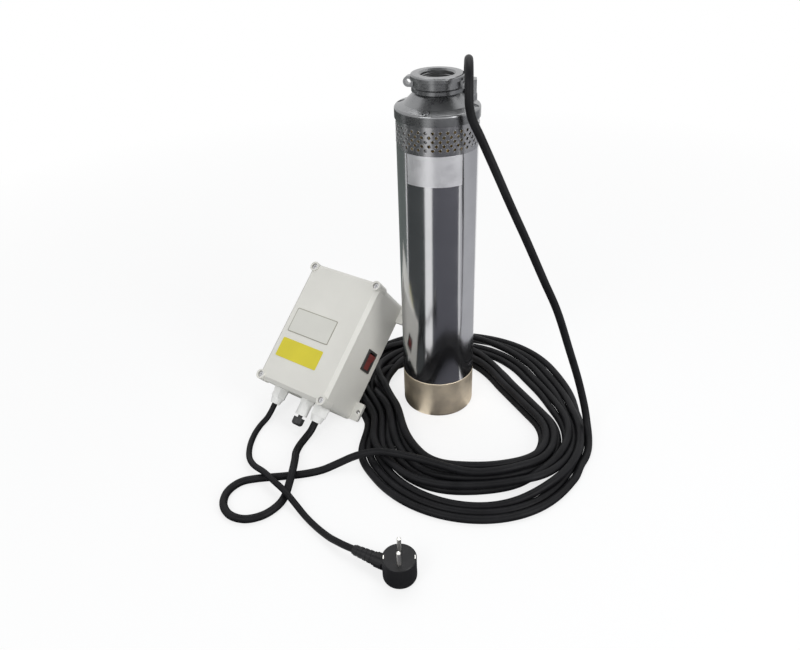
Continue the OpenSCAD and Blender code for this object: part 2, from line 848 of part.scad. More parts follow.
module rotor_end_rings() color("silver") for (z = [z_stack - end_ring_h, z_stack_top])
    translate([0, 0, z]) tube(end_ring_out_r, end_ring_in_r, end_ring_h);

module in_slots() {
    for (i = [0 : slot_count - 1]) rotate([0, 0, i * 360 / slot_count]) children();
}

module stator_core() color("slategray") translate([0, 0, z_stack]) difference() {
    tube(r_bore - fit_gap, stator_bore_r, stack_h);
    in_slots() translate([slot_inner_r, -slot_w / 2, -cut]) cube([slot_depth, slot_w, stack_h + 2 * cut]);
}

module stator_windings() color("peru") {
    bar_w = slot_w - 2 * slot_gap;
    in_slots() translate([slot_inner_r + slot_gap, -bar_w / 2, z_stack - 1])
        cube([slot_depth - 2 * slot_gap, bar_w, stack_h + 2]);
    for (z = [z_stack - end_turn_h, z_stack_top + slot_gap])
        translate([0, 0, z]) tube(end_turn_out_r, end_turn_in_r, end_turn_h - slot_gap);
}

module motor_lead() color("black") translate([0, 0, z_winding_top + lead_end_gap]) at_lead()
    cylinder(d = cable_d, h = z_gland_top - z_winding_top - lead_end_gap);

// Control box
module at_box() {
    translate(box_pos) rotate([box_tilt - 90, 0, box_yaw]) children();
}

function box_point(x, y, z) =
    let (lean = 90 - box_tilt)
    let (yl = y * cos(lean) + z * sin(lean), zl = z * cos(lean) - y * sin(lean))
    box_pos + [x * cos(box_yaw) - yl * sin(box_yaw), x * sin(box_yaw) + yl * cos(box_yaw), zl];

module box_slab(inset, depth) {
    translate([0, 0, box_h / 2]) rotate([90, 0, 0]) linear_extrude(depth)
        rounded_rect(box_w - 2 * inset, box_h - 2 * inset, max(box_corner_r - inset, 1));
}

module at_box_corners() {
    for (x = [-1, 1]) for (z = [post_inset, box_h - post_inset])
        translate([x * (box_w / 2 - post_inset), 0, z]) rotate([90, 0, 0]) children();
}

module at_lugs() {
    for (x = [-1, 1]) for (z = [lug_half_w + 2, box_h - lug_half_w - 2])
        translate([x * box_w / 2, 0, z]) mirror([x < 0 ? 1 : 0, 0, 0]) rotate([90, 0, 0]) children();
}

module lug() {
    linear_extrude(lug_t) {
        translate([-box_wall, -lug_half_w]) square([box_wall + lug_end - box_foot_chamfer, 2 * lug_half_w]);
        translate([-box_wall, -lug_half_w + box_foot_chamfer])
            square([box_wall + lug_end, 2 * (lug_half_w - box_foot_chamfer)]);
    }
}

module box_floor_holes() {
    hole_h = box_wall + 2 * cut;
    translate([power_gland_x, power_gland_y, -cut])
        cylinder(r = power_cord_d / 2 + gland_thread_wall + fit_gap, h = hole_h);
    translate([motor_gland_x, motor_gland_y, -cut])
        cylinder(r = cable_d / 2 + gland_thread_wall + fit_gap, h = hole_h);
    translate([overload_x, overload_y, -cut]) cylinder(r = overload_neck_r + fit_gap, h = hole_h);
}

module box_base() color("ivory") at_box() difference() {
    union() {
        difference() {
            union() {
                box_slab(0, box_base_d);
                at_lugs() lug();
            }
            translate([0, -box_wall, 0]) box_slab(box_wall, box_d);
        }
        intersection() {
            at_box_corners() cylinder(r = post_r, h = box_base_d);
            box_slab(cut, box_base_d);
        }
    }
    translate([0, -box_base_d + gasket_t, 0]) difference() {
        box_slab(gasket_inset, gasket_t + cut);
        translate([0, cut, 0]) box_slab(gasket_inset + gasket_w, gasket_t + 3 * cut);
    }
    at_box_corners() translate([0, 0, box_base_d - post_hole_depth])
        cylinder(r = post_hole_r, h = post_hole_depth + cut);
    at_lugs() translate([lug_reach, 0, -cut]) cylinder(d = lug_hole_d, h = lug_t + 2 * cut);
    box_floor_holes();
    translate([box_w / 2 - box_wall - cut, switch_y - switch_body_w / 2 - fit_gap,
               switch_z - switch_body_l / 2 - fit_gap])
        cube([box_wall + 2 * cut, switch_body_w + 2 * fit_gap, switch_body_l + 2 * fit_gap]);
    translate([-box_w, -box_foot_chamfer, -box_foot_chamfer]) rotate([-45, 0, 0])
        cube([2 * box_w, box_w, box_foot_chamfer * sqrt(2)]);
}

// The lid's outline seen from the side or from above, with its front edges cut off
module lid_profile(half) {
    polygon([
        [-half, 0], [half, 0], [half, box_lid_d - lid_chamfer], [half - lid_chamfer, box_lid_d],
        [lid_chamfer - half, box_lid_d], [-half, box_lid_d - lid_chamfer]
    ]);
}

module lid_solid() {
    intersection() {
        box_slab(0, box_lid_d);
        translate([0, 0, -box_h]) rotate([0, 0, 180]) linear_extrude(3 * box_h) lid_profile(box_w / 2);
        translate([-box_w, 0, box_h / 2]) rotate([0, -90, 180]) linear_extrude(2 * box_w)
            lid_profile(box_h / 2);
    }
}

module box_lid() color("ivory") at_box() translate([0, -box_base_d, 0]) difference() {
    union() {
        difference() {
            lid_solid();
            translate([0, cut, 0]) box_slab(lid_chamfer + lid_wall / 2, box_lid_d - lid_wall + cut);
        }
        at_box_corners() cylinder(r = boss_r, h = box_lid_d + boss_proud);
    }
    at_box_corners() {
        translate([0, 0, -cut]) cylinder(r = lid_screw_hole_r, h = box_lid_d + boss_proud);
        translate([0, 0, box_lid_d + boss_proud - lid_screw_well])
            cylinder(r = lid_screw_well_r, h = box_lid_d);
    }
}

module lid_gasket() color("dimgray") at_box() translate([0, -box_base_d + gasket_t, 0]) difference() {
    box_slab(gasket_inset + fit_gap, gasket_t);
    translate([0, cut, 0]) box_slab(gasket_inset + gasket_w - fit_gap, gasket_t + 2 * cut);
}

module lid_screws() color("lightgray") at_box() translate([0, -box_base_d, 0]) at_box_corners() {
    seat = box_lid_d + boss_proud - lid_screw_well;
    translate([0, 0, -lid_screw_grip]) cylinder(r = lid_screw_r, h = seat + lid_screw_grip);
    translate([0, 0, seat]) cylinder(r = lid_screw_head_r, h = lid_screw_head_h);
}

capacitor_y = -box_wall - clamp_t - clamp_gap - capacitor_r;

module capacitor() color("whitesmoke") at_box() translate([capacitor_x, capacitor_y, capacitor_z]) {
    cylinder(r = capacitor_r, h = capacitor_h);
    for (x = [-1, 1]) translate([x * capacitor_r / 2 - capacitor_tab_w / 2, -capacitor_tab_t / 2, capacitor_h])
        cube([capacitor_tab_w, capacitor_tab_t, capacitor_tab_h]);
}

module capacitor_clamp() color("silver") at_box() translate([capacitor_x, capacitor_y, capacitor_z + clamp_z]) {
    band_r = capacitor_r + clamp_gap;
    tube(band_r + clamp_t, band_r, clamp_w);
    difference() {
        translate([-band_r - clamp_foot_l, band_r, 0]) cube([2 * (band_r + clamp_foot_l), clamp_t, clamp_w]);
        translate([0, 0, -cut]) cylinder(r = band_r, h = clamp_w + 2 * cut);
    }
}

module terminal_wells(z) {
    step = terminal_w / terminal_poles;
    for (i = [0 : terminal_poles - 1]) for (row = [-1, 1])
        translate([(i + 0.5) * step - terminal_w / 2, 0, row * terminal_h / 4])
            rotate([90, 0, 0]) translate([0, 0, z]) children();
}

module terminal_block() color("white") at_box() translate([terminal_x, -box_wall, terminal_z]) difference() {
    translate([-terminal_w / 2, -terminal_d, -terminal_h / 2]) cube([terminal_w, terminal_d, terminal_h]);
    terminal_wells(terminal_d - terminal_well) cylinder(r = terminal_well_r, h = terminal_well + cut);
}

module terminal_screws() color("khaki") at_box() translate([terminal_x, -box_wall, terminal_z])
    terminal_wells(terminal_d - terminal_well) cylinder(r = terminal_screw_r, h = terminal_screw_h);

// Overload protector: a body inside the box, a long nut below it and a capped button in the nut
module overload_body() color("dimgray") at_box() translate([overload_x, overload_y, 0]) difference() {
    union() {
        translate([0, 0, box_wall]) cylinder(r = overload_r, h = overload_h);
        translate([0, 0, -overload_nut_h / 4]) cylinder(r = overload_neck_r, h = overload_nut_h / 4 + box_wall);
    }
    translate([0, 0, -overload_nut_h]) cylinder(r = overload_bore_r, h = overload_nut_h + overload_bore_depth);
}

module overload_nut() color("whitesmoke") at_box()
    translate([overload_x, overload_y, -overload_nut_h]) difference() {
    union() {
        cylinder(r = overload_nut_r, h = overload_nut_h);
        translate([0, 0, overload_nut_h - gland_hex_h]) hexagon(2 * overload_nut_r + 2, gland_hex_h);
    }
    translate([0, 0, -cut]) cylinder(r = overload_bore_r, h = overload_nut_h + 2 * cut);
    translate([0, 0, overload_nut_h * 3 / 4]) cylinder(r = overload_neck_r + fit_gap, h = overload_nut_h);
}

module reset_button() color("black") at_box()
    translate([overload_x, overload_y, -overload_nut_h - reset_travel - reset_gap]) {
        cylinder(r = reset_stem_r, h = reset_stem_l);
        rotate_extrude() polygon(concat(
            [[0, -reset_cap_h]],
            arc([reset_cap_d / 2 - reset_cap_edge, reset_cap_edge - reset_cap_h], reset_cap_edge, -90, 0, 6),
            [[reset_cap_d / 2, 0], [0, 0]]));
    }

// Power switch on the right wall, drawn with its face along +X
module at_switch() {
    at_box() translate([box_w / 2, switch_y, switch_z]) children();
}

module block(from_x, to_x, w, l) {
    translate([from_x, -w / 2, -l / 2]) cube([to_x - from_x, w, l]);
}

rocker_x = switch_bezel_t - rocker_pivot_depth;

module switch_frame() color("black") at_switch() difference() {
    union() {
        block(0, switch_bezel_t, switch_w, switch_l);
        block(-switch_body_depth, cut, switch_body_w, switch_body_l);
    }
    block(switch_bezel_t - switch_pocket_depth, switch_bezel_t + cut, switch_pocket_w, switch_pocket_l);
    translate([rocker_x, switch_w, 0]) rotate([90, 0, 0])
        cylinder(r = rocker_pin_r + rocker_pin_gap, h = 2 * switch_w);
}

module switch_rocker() color("darkred") at_switch() translate([rocker_x, 0, 0]) rotate([0, rocker_swing / 2, 0])
    rotate([90, 0, 0]) {
        translate([0, 0, -rocker_w / 2]) linear_extrude(rocker_w) polygon([
            [-rocker_base, -rocker_half_base], [rocker_side, -rocker_half_l], [rocker_tip, -rocker_half_l],
            [rocker_crest, 0], [rocker_tip, rocker_half_l], [rocker_side, rocker_half_l],
            [-rocker_base, rocker_half_base]
        ]);
        translate([0, 0, -rocker_w / 2 - rocker_pin_l])
            cylinder(r = rocker_pin_r, h = rocker_w + 2 * rocker_pin_l);
    }

// Cable glands: a body through the box's floor, a locknut inside and a domed nut outside
module gland_body(x, y, d) {
    thread_r = d / 2 + gland_thread_wall;
    at_box() translate([x, y, 0]) difference() {
        union() {
            translate([0, 0, -gland_hex_h]) hexagon(2 * thread_r + 4, gland_hex_h);
            cylinder(r = thread_r, h = gland_neck_in);
        }
        translate([0, 0, -gland_hex_h - cut])
            cylinder(r = d / 2 + gland_cord_gap, h = gland_hex_h + gland_neck_in + 2 * cut);
    }
}

module gland_cap(x, y, d) {
    thread_r = d / 2 + gland_thread_wall;
    at_box() translate([x, y, -gland_hex_h]) mirror([0, 0, 1]) difference() {
        union() {
            hexagon(2 * thread_r + 3, gland_cap_h / 2);
            rotate_extrude() polygon([
                [0, 0], [thread_r + 1, 0], [thread_r + 1, gland_cap_h / 2],
                [thread_r - 1, gland_cap_h - 2], [d / 2 + gland_cap_tip, gland_cap_h], [0, gland_cap_h]
            ]);
        }
        translate([0, 0, -cut]) cylinder(r = d / 2 + gland_cord_gap, h = gland_cap_h + 2 * cut);
    }
}

module gland_locknut(x, y, d) {
    thread_r = d / 2 + gland_thread_wall;
    at_box() translate([x, y, box_wall]) difference() {
        hexagon(2 * thread_r + 4, gland_lock_h);
        translate([0, 0, -cut]) cylinder(r = thread_r + fit_gap, h = gland_lock_h + 2 * cut);
    }
}

module power_gland_body() color("white") gland_body(power_gland_x, power_gland_y, power_cord_d);
module power_gland_nut() color("white") gland_cap(power_gland_x, power_gland_y, power_cord_d);
module power_gland_locknut() color("white") gland_locknut(power_gland_x, power_gland_y, power_cord_d);
module motor_gland_body() color("white") gland_body(motor_gland_x, motor_gland_y, cable_d);
module motor_gland_nut() color("white") gland_cap(motor_gland_x, motor_gland_y, cable_d);
module motor_gland_locknut() color("white") gland_locknut(motor_gland_x, motor_gland_y, cable_d);

// Cords
gland_end = -gland_hex_h - gland_cap_h;
tail_in = [for (z = [gland_end - motor_lead_out, gland_end, gland_neck_in])
    box_point(motor_gland_x, motor_gland_y, z)];
cord_out = [for (z = [gland_neck_in, gland_end, gland_end - lead_out])
    box_point(power_gland_x, power_gland_y, z)];

module at_plug() {
    translate(plug_pos) rotate([0, 0, plug_yaw]) children();
}

function plug_point(x) = [
    plug_pos[0] + x * cos(plug_yaw), plug_pos[1] + x * sin(plug_yaw), plug_entry_z
];

relief_end = -plug_d / 2 - plug_neck_l - relief_l;
cord_in = [for (x = [relief_end - lead_out, relief_end, relief_end + relief_l]) plug_point(x)];

module motor_cable_drop() color("black") cord_tube(smooth(cable_drop_points, cord_steps), cable_d, [1, 0, 0]);

module motor_cable_tail() color("black")
    cord_tube(smooth(concat(cable_tail_points, tail_in), cord_steps), cable_d, [0, 0, 1]);

module power_cord() color("black")
    cord_tube(smooth(concat(cord_out, power_cord_points, cord_in), cord_steps), power_cord_d, [0, 0, 1]);

// The coil is wide and low in front, and narrower and higher behind the pump
module coil_outline(near_r, far_r) {
    hull() {
        translate(coil_near) circle(r = near_r);
        translate(coil_far) circle(r = far_r);
    }
}

module motor_cable_coil() color("black") {
    front = coil_near[1] - coil_near_out_r;
    depth = coil_far[1] + coil_far_out_r - front;
    slope = atan((coil_far_h - coil_near_h) / depth);
    difference() {
        linear_extrude(coil_far_h) difference() {
            coil_outline(coil_near_out_r, coil_far_out_r);
            coil_outline(coil_near_in_r, coil_far_in_r);
        }
        translate([-2 * depth, front, coil_near_h]) rotate([slope, 0, 0]) cube([4 * depth, 2 * depth, depth]);
        at_box() translate([-box_w, -box_d, -1]) cube([box_w * 3 / 2 + lug_end + 2, box_d + coil_gap, box_h]);
    }
}

// Plug
module plug_body() color("black") at_plug() difference() {
    union() {
        rotate_extrude() polygon(concat(
            [[0, plug_floor]],
            arc([plug_d / 2 - plug_edge, plug_floor + plug_edge], plug_edge, -90, 0, 6),
            [[plug_d / 2, plug_top - 1], [plug_d / 2 - 1, plug_top], [0, plug_top]]));
        translate([-plug_d / 2 - plug_neck_l, 0, plug_entry_z]) rotate([0, 90, 0])
            cylinder(r = plug_neck_r, h = plug_neck_l + plug_d / 2);
    }
    plug_pin_places() translate([0, 0, plug_top - plug_pin_seat])
        cylinder(d = plug_pin_d, h = plug_pin_seat + cut);
    clip_places() translate([-clip_depth, -clip_w / 2 - run_gap, plug_top - clip_h])
        cube([2 * clip_depth, clip_w + 2 * run_gap, clip_h + cut]);
}

module plug_pin_places() {
    for (side = [-1, 1]) rotate([0, 0, plug_pin_turn]) translate([0, side * plug_pin_span / 2, 0]) children();
}

module clip_places() {
    for (side = [0, 180]) rotate([0, 0, plug_pin_turn + side]) translate([plug_d / 2, 0, 0]) children();
}

module plug_strain_relief() color("black") at_plug()
    translate([-plug_d / 2 - plug_neck_l, 0, plug_entry_z]) rotate([0, -90, 0]) difference() {
        rib = relief_l / relief_ribs;
        rotate_extrude() polygon(concat(
            [[0, 0]],
            [for (i = [0 : relief_ribs - 1])
                let (r = relief_r + (relief_tip_r - relief_r) * (i + 1) / relief_ribs)
                each [
                    [r + relief_rib, i * rib], [r + relief_rib, (i + 0.6) * rib],
                    [r, (i + 0.6) * rib], [r, (i + 1) * rib]
                ]],
            [[0, relief_l]]));
        translate([0, 0, -cut]) cylinder(r = power_cord_d / 2 + fit_gap, h = relief_l + 2 * cut);
    }

module plug_pins() color("silver") at_plug() plug_pin_places()
    translate([0, 0, plug_top - plug_pin_seat]) rotate_extrude() polygon([
        [0, 0], [plug_pin_d / 2 - fit_gap, 0],
        [plug_pin_d / 2 - fit_gap, plug_pin_seat + plug_pin_l - plug_pin_edge],
        [plug_pin_d / 2 - plug_pin_edge, plug_pin_seat + plug_pin_l], [0, plug_pin_seat + plug_pin_l]
    ]);

module plug_earth_clips() color("silver") at_plug() clip_places()
    translate([-clip_depth, -clip_w / 2, plug_top - clip_h]) cube([clip_t, clip_w, clip_h]);

bottom_cap();
motor_shell();
motor_top_bracket();
oil_chamber();
suction_strainer();
discharge_head();
outlet_collar();
gland_nut();
gland_bush();
head_screws();
chamber_body();
chamber_cover();
impeller();
impeller_nut();
shaft();
rotor_core();
rotor_end_rings();
stator_core();
stator_windings();
upper_bearing_outer();
upper_bearing_inner();
lower_bearing_outer();
lower_bearing_inner();
seal_seat();
seal_ring();
seal_bellows();
shell_seal_rings();
head_seal_ring();
motor_lead();
box_base();
box_lid();
lid_gasket();
lid_screws();
capacitor();
capacitor_clamp();
terminal_block();
terminal_screws();
overload_body();
overload_nut();
reset_button();
switch_frame();
switch_rocker();
power_gland_body();
power_gland_nut();
power_gland_locknut();
motor_gland_body();
motor_gland_nut();
motor_gland_locknut();
motor_cable_drop();
motor_cable_coil();
motor_cable_tail();
power_cord();
plug_body();
plug_strain_relief();
plug_pins();
plug_earth_clips();
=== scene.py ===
import math

import bpy
import numpy as np
from mathutils import Matrix, Vector


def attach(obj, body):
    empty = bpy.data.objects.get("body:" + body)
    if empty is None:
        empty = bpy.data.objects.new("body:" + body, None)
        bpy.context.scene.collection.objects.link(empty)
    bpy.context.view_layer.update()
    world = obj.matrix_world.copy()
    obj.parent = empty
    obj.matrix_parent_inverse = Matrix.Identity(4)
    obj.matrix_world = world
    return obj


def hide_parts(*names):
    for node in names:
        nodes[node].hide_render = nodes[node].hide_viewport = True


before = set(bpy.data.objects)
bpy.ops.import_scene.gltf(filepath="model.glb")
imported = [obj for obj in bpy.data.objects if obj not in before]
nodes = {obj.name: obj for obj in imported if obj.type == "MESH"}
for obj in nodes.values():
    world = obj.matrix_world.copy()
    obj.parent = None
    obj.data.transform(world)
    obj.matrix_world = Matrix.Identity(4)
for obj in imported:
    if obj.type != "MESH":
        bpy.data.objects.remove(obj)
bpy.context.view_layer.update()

# Camera, as the photograph was taken
LENS_MM = 32.548
SENSOR_MM = 36
CAMERA_AT = (-0.05227, -0.84120, 0.65619)
CAMERA_PITCH = math.radians(32.28)
CAMERA_ROLL = math.radians(-2.045)

# Floor: how much of it glows to the viewer, near the object and far off
FLOOR_R = 25.0
FLOOR_FADE = {"From Min": 0.45, "From Max": 1.5, "To Min": 0.76, "To Max": 1.0}

# Room light, and softboxes as place, target, width, height and power
ROOM_TINT = (0.96, 0.98, 1.0, 1)
ROOM_STRENGTH = 0.45
SOFTBOXES = {
    "key_softbox": ((-0.9, -1.3, 1.5), (0, 0, 0.2), 0.9, 1.2, 12),
    "fill_softbox": ((1.25, -1.2, 1.0), (0, 0, 0.2), 0.8, 1.2, 14),
    "top_softbox": ((0.2, 0.6, 2.0), (0, 0, 0.1), 1.6, 1.2, 14),
}

# Grey cards on the floor round the pump, as two bearings to the right of the viewer's side and a tone
CARD_NEAR = 0.05
CARD_FAR = 2.6
CARD_Z = 0.0015
FLOOR_CARDS = {
    "front_flag": (-19, 58, (0.105, 0.105, 0.12)),
    "right_flag": (62, 142, (0.5, 0.5, 0.52)),
    "left_flag": (-100, -40, (0.07, 0.075, 0.076)),
    "back_flag": (-178, -104, (0.17, 0.19, 0.18)),
}
CEILING_CARD = [(-1.0, -1.3, 1.7), (1.0, -1.3, 1.7), (1.0, 0.2, 1.7), (-1.0, 0.2, 1.7)]
CEILING_TONE = (0.07, 0.07, 0.075)

# Depth of the finest relief, and of drawn lines and wire rows
SKIN_DEPTH = 0.0002
LINE_DEPTH = 0.0003

# Pump
CASING_R = 0.049
STRAINER_Z = 0.378
STRAINER_H = 0.034
STRAINER_COLUMNS = 36
STRAINER_ROWS = 5
STRAINER_HOLE_R = 0.0020
STRAINER_MARGIN = 0.0070
RIM_R = 0.00028
HEAD_TOP_Z = 0.460
PORT_R = 0.019475
PORT_DEPTH = 0.024
THREAD_PITCH = 0.00231
THREAD_R = 0.0007
THREAD_END_GAP = 0.003
PLATE_LOW_Z = 0.3415
PLATE_HIGH_Z = 0.3780
PLATE_FROM = math.radians(-139)
PLATE_TO = math.radians(-58)
PLATE_T = 0.0003
PLATE_LIFT = 0.00005

# Control box, upright about its lower back edge and then leaned
BOX_AT = (-0.1755, -0.0147, 0.0)
BOX_LEAN = math.radians(50)
BOX_YAW = math.radians(-36)
BOX_W = 0.120
BOX_H = 0.182
BOX_D = 0.082
LABEL_T = 0.0003
LABEL_LIFT = 0.00005
LABEL_CORNER = 0.002
LABEL_BORDER = 0.0012
INNER_LABEL_LIFT = 0.0003
INNER_LABEL_CORNER = 0.0015
CORNER_STEPS = 6
YELLOW_LABEL = (-0.0475, 0.0245, 0.038, 0.066)
WHITE_LABEL = (-0.0475, 0.0245, 0.076, 0.112)
LID_SCREW_INSET = 0.0055
LID_SCREW_FACE = 0.0815
LID_SCREW_HEAD_R = 0.0038
LID_SCREW_HEAD_H = 0.003
LID_SCREW_SHANK_R = 0.00175
LID_SCREW_SHANK_L = 0.0285
LID_SCREW_SLOT = (0.0052, 0.0009, 0.0030)

# Glands under the box: across from its middle and out from its back, then heights over its floor
POWER_GLAND = (-0.037, -0.046)
MOTOR_GLAND = (0.036, -0.043)
GLAND_INSIDE = 0.004
GLAND_END = -0.023
LEAD_OUT = 0.013
MOTOR_LEAD_OUT = 0.006

# Cables are round, and drawn in even steps
CABLE_SIDES = 16
CURVE_STEPS = 12

# Motor cable: up out of the head's gland, over the top and down into the coil
CABLE_R = 0.005
CABLE_STEP = 0.0035
LEAD_TOP = (0.03625, 0.01690, 0.4483)
DROP_POINTS = [
    (0.03625, 0.01690, 0.438),
    LEAD_TOP,
    (0.0361, 0.0137, 0.4600),
    (0.0355, 0.0057, 0.4689),
    (0.0346, -0.0049, 0.4742),
    (0.0335, -0.0170, 0.4760),
    (0.0326, -0.0288, 0.4742),
    (0.0318, -0.0390, 0.4680),
    (0.0312, -0.0465, 0.4585),
    (0.0310, -0.0510, 0.4470),
    (0.0316, -0.0530, 0.4345),
    (0.0355, -0.0537, 0.4195),
    (0.0440, -0.054, 0.402),
    (0.062, -0.056, 0.363),
    (0.081, -0.058, 0.321),
    (0.103, -0.061, 0.274),
    (0.126, -0.064, 0.223),
    (0.146, -0.068, 0.179),
    (0.165, -0.073, 0.124),
    (0.179, -0.078, 0.082),
    (0.1885, -0.0840, 0.0480),
    (0.1920, -0.0900, 0.0313),
    (0.1933, -0.0962, 0.0206),
    (0.1936, -0.1053, 0.0122),
    (0.1922, -0.1164, 0.0067),
    (0.1884, -0.1305, 0.0050),
    (0.1814, -0.1460, 0.0050),
    (0.1716, -0.1612, 0.0050),
]

# Coil: its inner edge is two round ends and the straights between them
COIL_NEAR = Vector((0.047, -0.094))
COIL_FAR = Vector((0.010, 0.000))
COIL_NEAR_IN_R = 0.076
COIL_FAR_IN_R = 0.088
COIL_STEP = 0.007
CABLE_PITCH = 0.0102
COIL_TURNS = 11

# The drop meets the coil after its first steps, and the tail leaves it before its last
JOIN_STEPS = 7
LEAVE_STEPS = 83

# Settling: its rounds, how much of a press each takes back, and how much of a neighbour's place it mixes in
SETTLE_ROUNDS = 60
PRESS_SHARE = 0.3
NEIGHBOUR_SHARE = 0.1
LEAST_DISTANCE = 1e-6

# Where the eleven turns lie across the coil at places round it: out from the inner edge and up, in millimetres
COIL_LAYS = {
    "right": [
        (75, 5), (64, 5), (58.8, 14), (53.6, 5), (48.4, 14), (43.2, 5),
        (32.8, 5), (22.4, 5), (12, 5), (17.2, 14), (27.6, 14),
    ],
    "right_front": [
        (62.4, 5), (51, 5), (56.2, 14), (45.8, 14), (35.4, 14), (40.6, 5),
        (30.2, 5), (19.8, 5), (9.4, 5), (14.6, 14), (25, 14),
    ],
    "front": [
        (76, 5), (65.6, 5), (55.2, 5), (26, 15), (26, 5), (15.6, 5),
        (15.6, 15), (5.2, 15), (5.2, 5), (5.2, 25), (15.6, 25),
    ],
    "front_side": [
        (80, 5), (69, 5), (58.5, 5), (52.8, 14), (47.2, 5), (36.8, 5),
        (26.4, 5), (16, 5), (5.6, 5), (10.8, 14), (31.6, 14),
    ],
    "left": [
        (84, 5), (73.6, 5), (63.2, 5), (58, 14), (52.8, 5), (42.4, 5),
        (32, 5), (21.6, 5), (11.2, 5), (16.4, 14), (37.2, 14),
    ],
    "left_lift": [
        (82, 5), (70, 5), (58, 5), (64, 14), (49, 13), (37, 13),
        (27, 20), (15, 14), (8, 5), (11, 23), (40, 22),
    ],
    "box": [
        (27, 5), (16.9, 5), (7.2, 5), (19, 14), (8.6, 14), (-1.8, 14),
        (2, 23.5), (-8.2, 14), (-3.2, 5), (-7.4, 23.5), (12.4, 23.5),
    ],
    "back": [
        (67.6, 5), (57.2, 5), (46.8, 5), (52, 14), (36.4, 5), (26, 5),
        (15.6, 5), (20.8, 14), (5.2, 5), (10.4, 14), (31.2, 14),
    ],
    "back_right": [
        (97, 5), (86, 5), (72.5, 5), (59.5, 5), (46.5, 5), (33.5, 5),
        (8.8, 5), (-1.6, 5), (-12, 5), (-6.8, 14), (3.6, 14),
    ],
    "far_right": [
        (96, 5), (85.6, 5), (75.2, 5), (64.8, 5), (54.4, 5), (44, 5),
        (20.8, 5), (10.4, 5), (0, 5), (5.2, 14), (15.6, 14),
    ],
}
# The same places as distances along the inner edge, clockwise from the right
COIL_STOPS = [
    (0, "right"), (45, "right_front"), (104, "front"), (140, "front"), (178, "front_side"),
    (234, "left"), (262, "left_lift"), (295, "box"), (318, "box"), (372, "back"),
    (470, "back"), (588, "back_right"), (650, "far_right"), (718, "right"),
]
# Behind the pump, between two shares of the way round, each turn moves on to the next one's lane
LANE_FROM = 0.63
LANE_TO = 0.73
LANE_STAGGER = 0.017
LANE_CHANGE = [(LANE_FROM - LANE_STAGGER * turn, LANE_TO - LANE_STAGGER * turn) for turn in range(COIL_TURNS)]

# Tail: off the coil's near side, round a loop and into the box
TAIL_POINTS = [
    (0.022, -0.1855, 0.0256),
    (0.004, -0.1790, 0.0262),
    (-0.016, -0.1700, 0.0265),
    (-0.040, -0.159, 0.0265),
    (-0.064, -0.150, 0.0262),
    (-0.084, -0.144, 0.0252),
    (-0.104, -0.142, 0.0212),
    (-0.121, -0.143, 0.0160),
    (-0.139, -0.147, 0.0100),
    (-0.158, -0.153, 0.0058),
    (-0.179, -0.158, 0.0050),
    (-0.205, -0.161, 0.0050),
    (-0.243, -0.164, 0.0050),
    (-0.2625, -0.170, 0.0050),
    (-0.275, -0.186, 0.0050),
    (-0.2758, -0.2068, 0.0050),
    (-0.2649, -0.224, 0.0050),
    (-0.246, -0.2315, 0.0050),
    (-0.226, -0.227, 0.0050),
    (-0.211, -0.2145, 0.0050),
    (-0.202, -0.199, 0.0060),
    (-0.197, -0.178, 0.0120),
    (-0.1945, -0.159, 0.0155),
    (-0.1945, -0.138, 0.0125),
    (-0.1955, -0.121, 0.0080),
    (-0.1925, -0.104, 0.0054),
    (-0.1865, -0.091, 0.0058),
    (-0.1800, -0.0822, 0.0094),
]

# Mains cord: out of its gland, over the tail's loop and into the plug
CORD_R = 0.004
CORD_STEP = 0.003
CORD_POINTS = [
    (-0.2450, -0.0474, 0.0064),
    (-0.2520, -0.0585, 0.0042),
    (-0.2575, -0.077, 0.0040),
    (-0.260, -0.100, 0.0040),
    (-0.257, -0.124, 0.0055),
    (-0.247, -0.145, 0.0105),
    (-0.231, -0.163, 0.0150),
    (-0.215, -0.182, 0.0160),
    (-0.201, -0.198, 0.0160),
    (-0.187, -0.214, 0.0100),
    (-0.173, -0.231, 0.0050),
    (-0.158, -0.249, 0.0050),
    (-0.143, -0.266, 0.0080),
    (-0.134, -0.275, 0.0110),
]
PLUG_AT = (-0.062, -0.319)
PLUG_YAW = math.radians(-30)
PLUG_ENTRY_Z = 0.013
PLUG_NECK = 0.029
RELIEF_L = 0.030


def box_point(x, y, z):
    """A point given in the upright box's own frame."""
    back = y * math.cos(BOX_LEAN) + z * math.sin(BOX_LEAN)
    rise = z * math.cos(BOX_LEAN) - y * math.sin(BOX_LEAN)
    return (
        BOX_AT[0] + x * math.cos(BOX_YAW) - back * math.sin(BOX_YAW),
        BOX_AT[1] + x * math.sin(BOX_YAW) + back * math.cos(BOX_YAW),
        BOX_AT[2] + rise,
    )


def plug_point(x):
    """A point on the plug's cord entry, measured from the plug's middle."""
    return (PLUG_AT[0] + x * math.cos(PLUG_YAW), PLUG_AT[1] + x * math.sin(PLUG_YAW), PLUG_ENTRY_Z)


# Materials
def new_material(name):
    material = bpy.data.materials.new(name)
    material.use_nodes = True
    tree = material.node_tree
    return material, tree, tree.nodes["Principled BSDF"]


def place_coordinates(tree, scale, source="Object"):
    coordinates = tree.nodes.new("ShaderNodeTexCoord")
    mapping = tree.nodes.new("ShaderNodeMapping")
    mapping.inputs["Scale"].default_value = scale
    tree.links.new(coordinates.outputs[source], mapping.inputs["Vector"])
    return mapping.outputs["Vector"]


def noise(tree, vector, scale, detail=4.0, roughness=0.55):
    texture = tree.nodes.new("ShaderNodeTexNoise")
    texture.inputs["Scale"].default_value = scale
    texture.inputs["Detail"].default_value = detail
    texture.inputs["Roughness"].default_value = roughness
    tree.links.new(vector, texture.inputs["Vector"])
    return texture.outputs["Fac"]


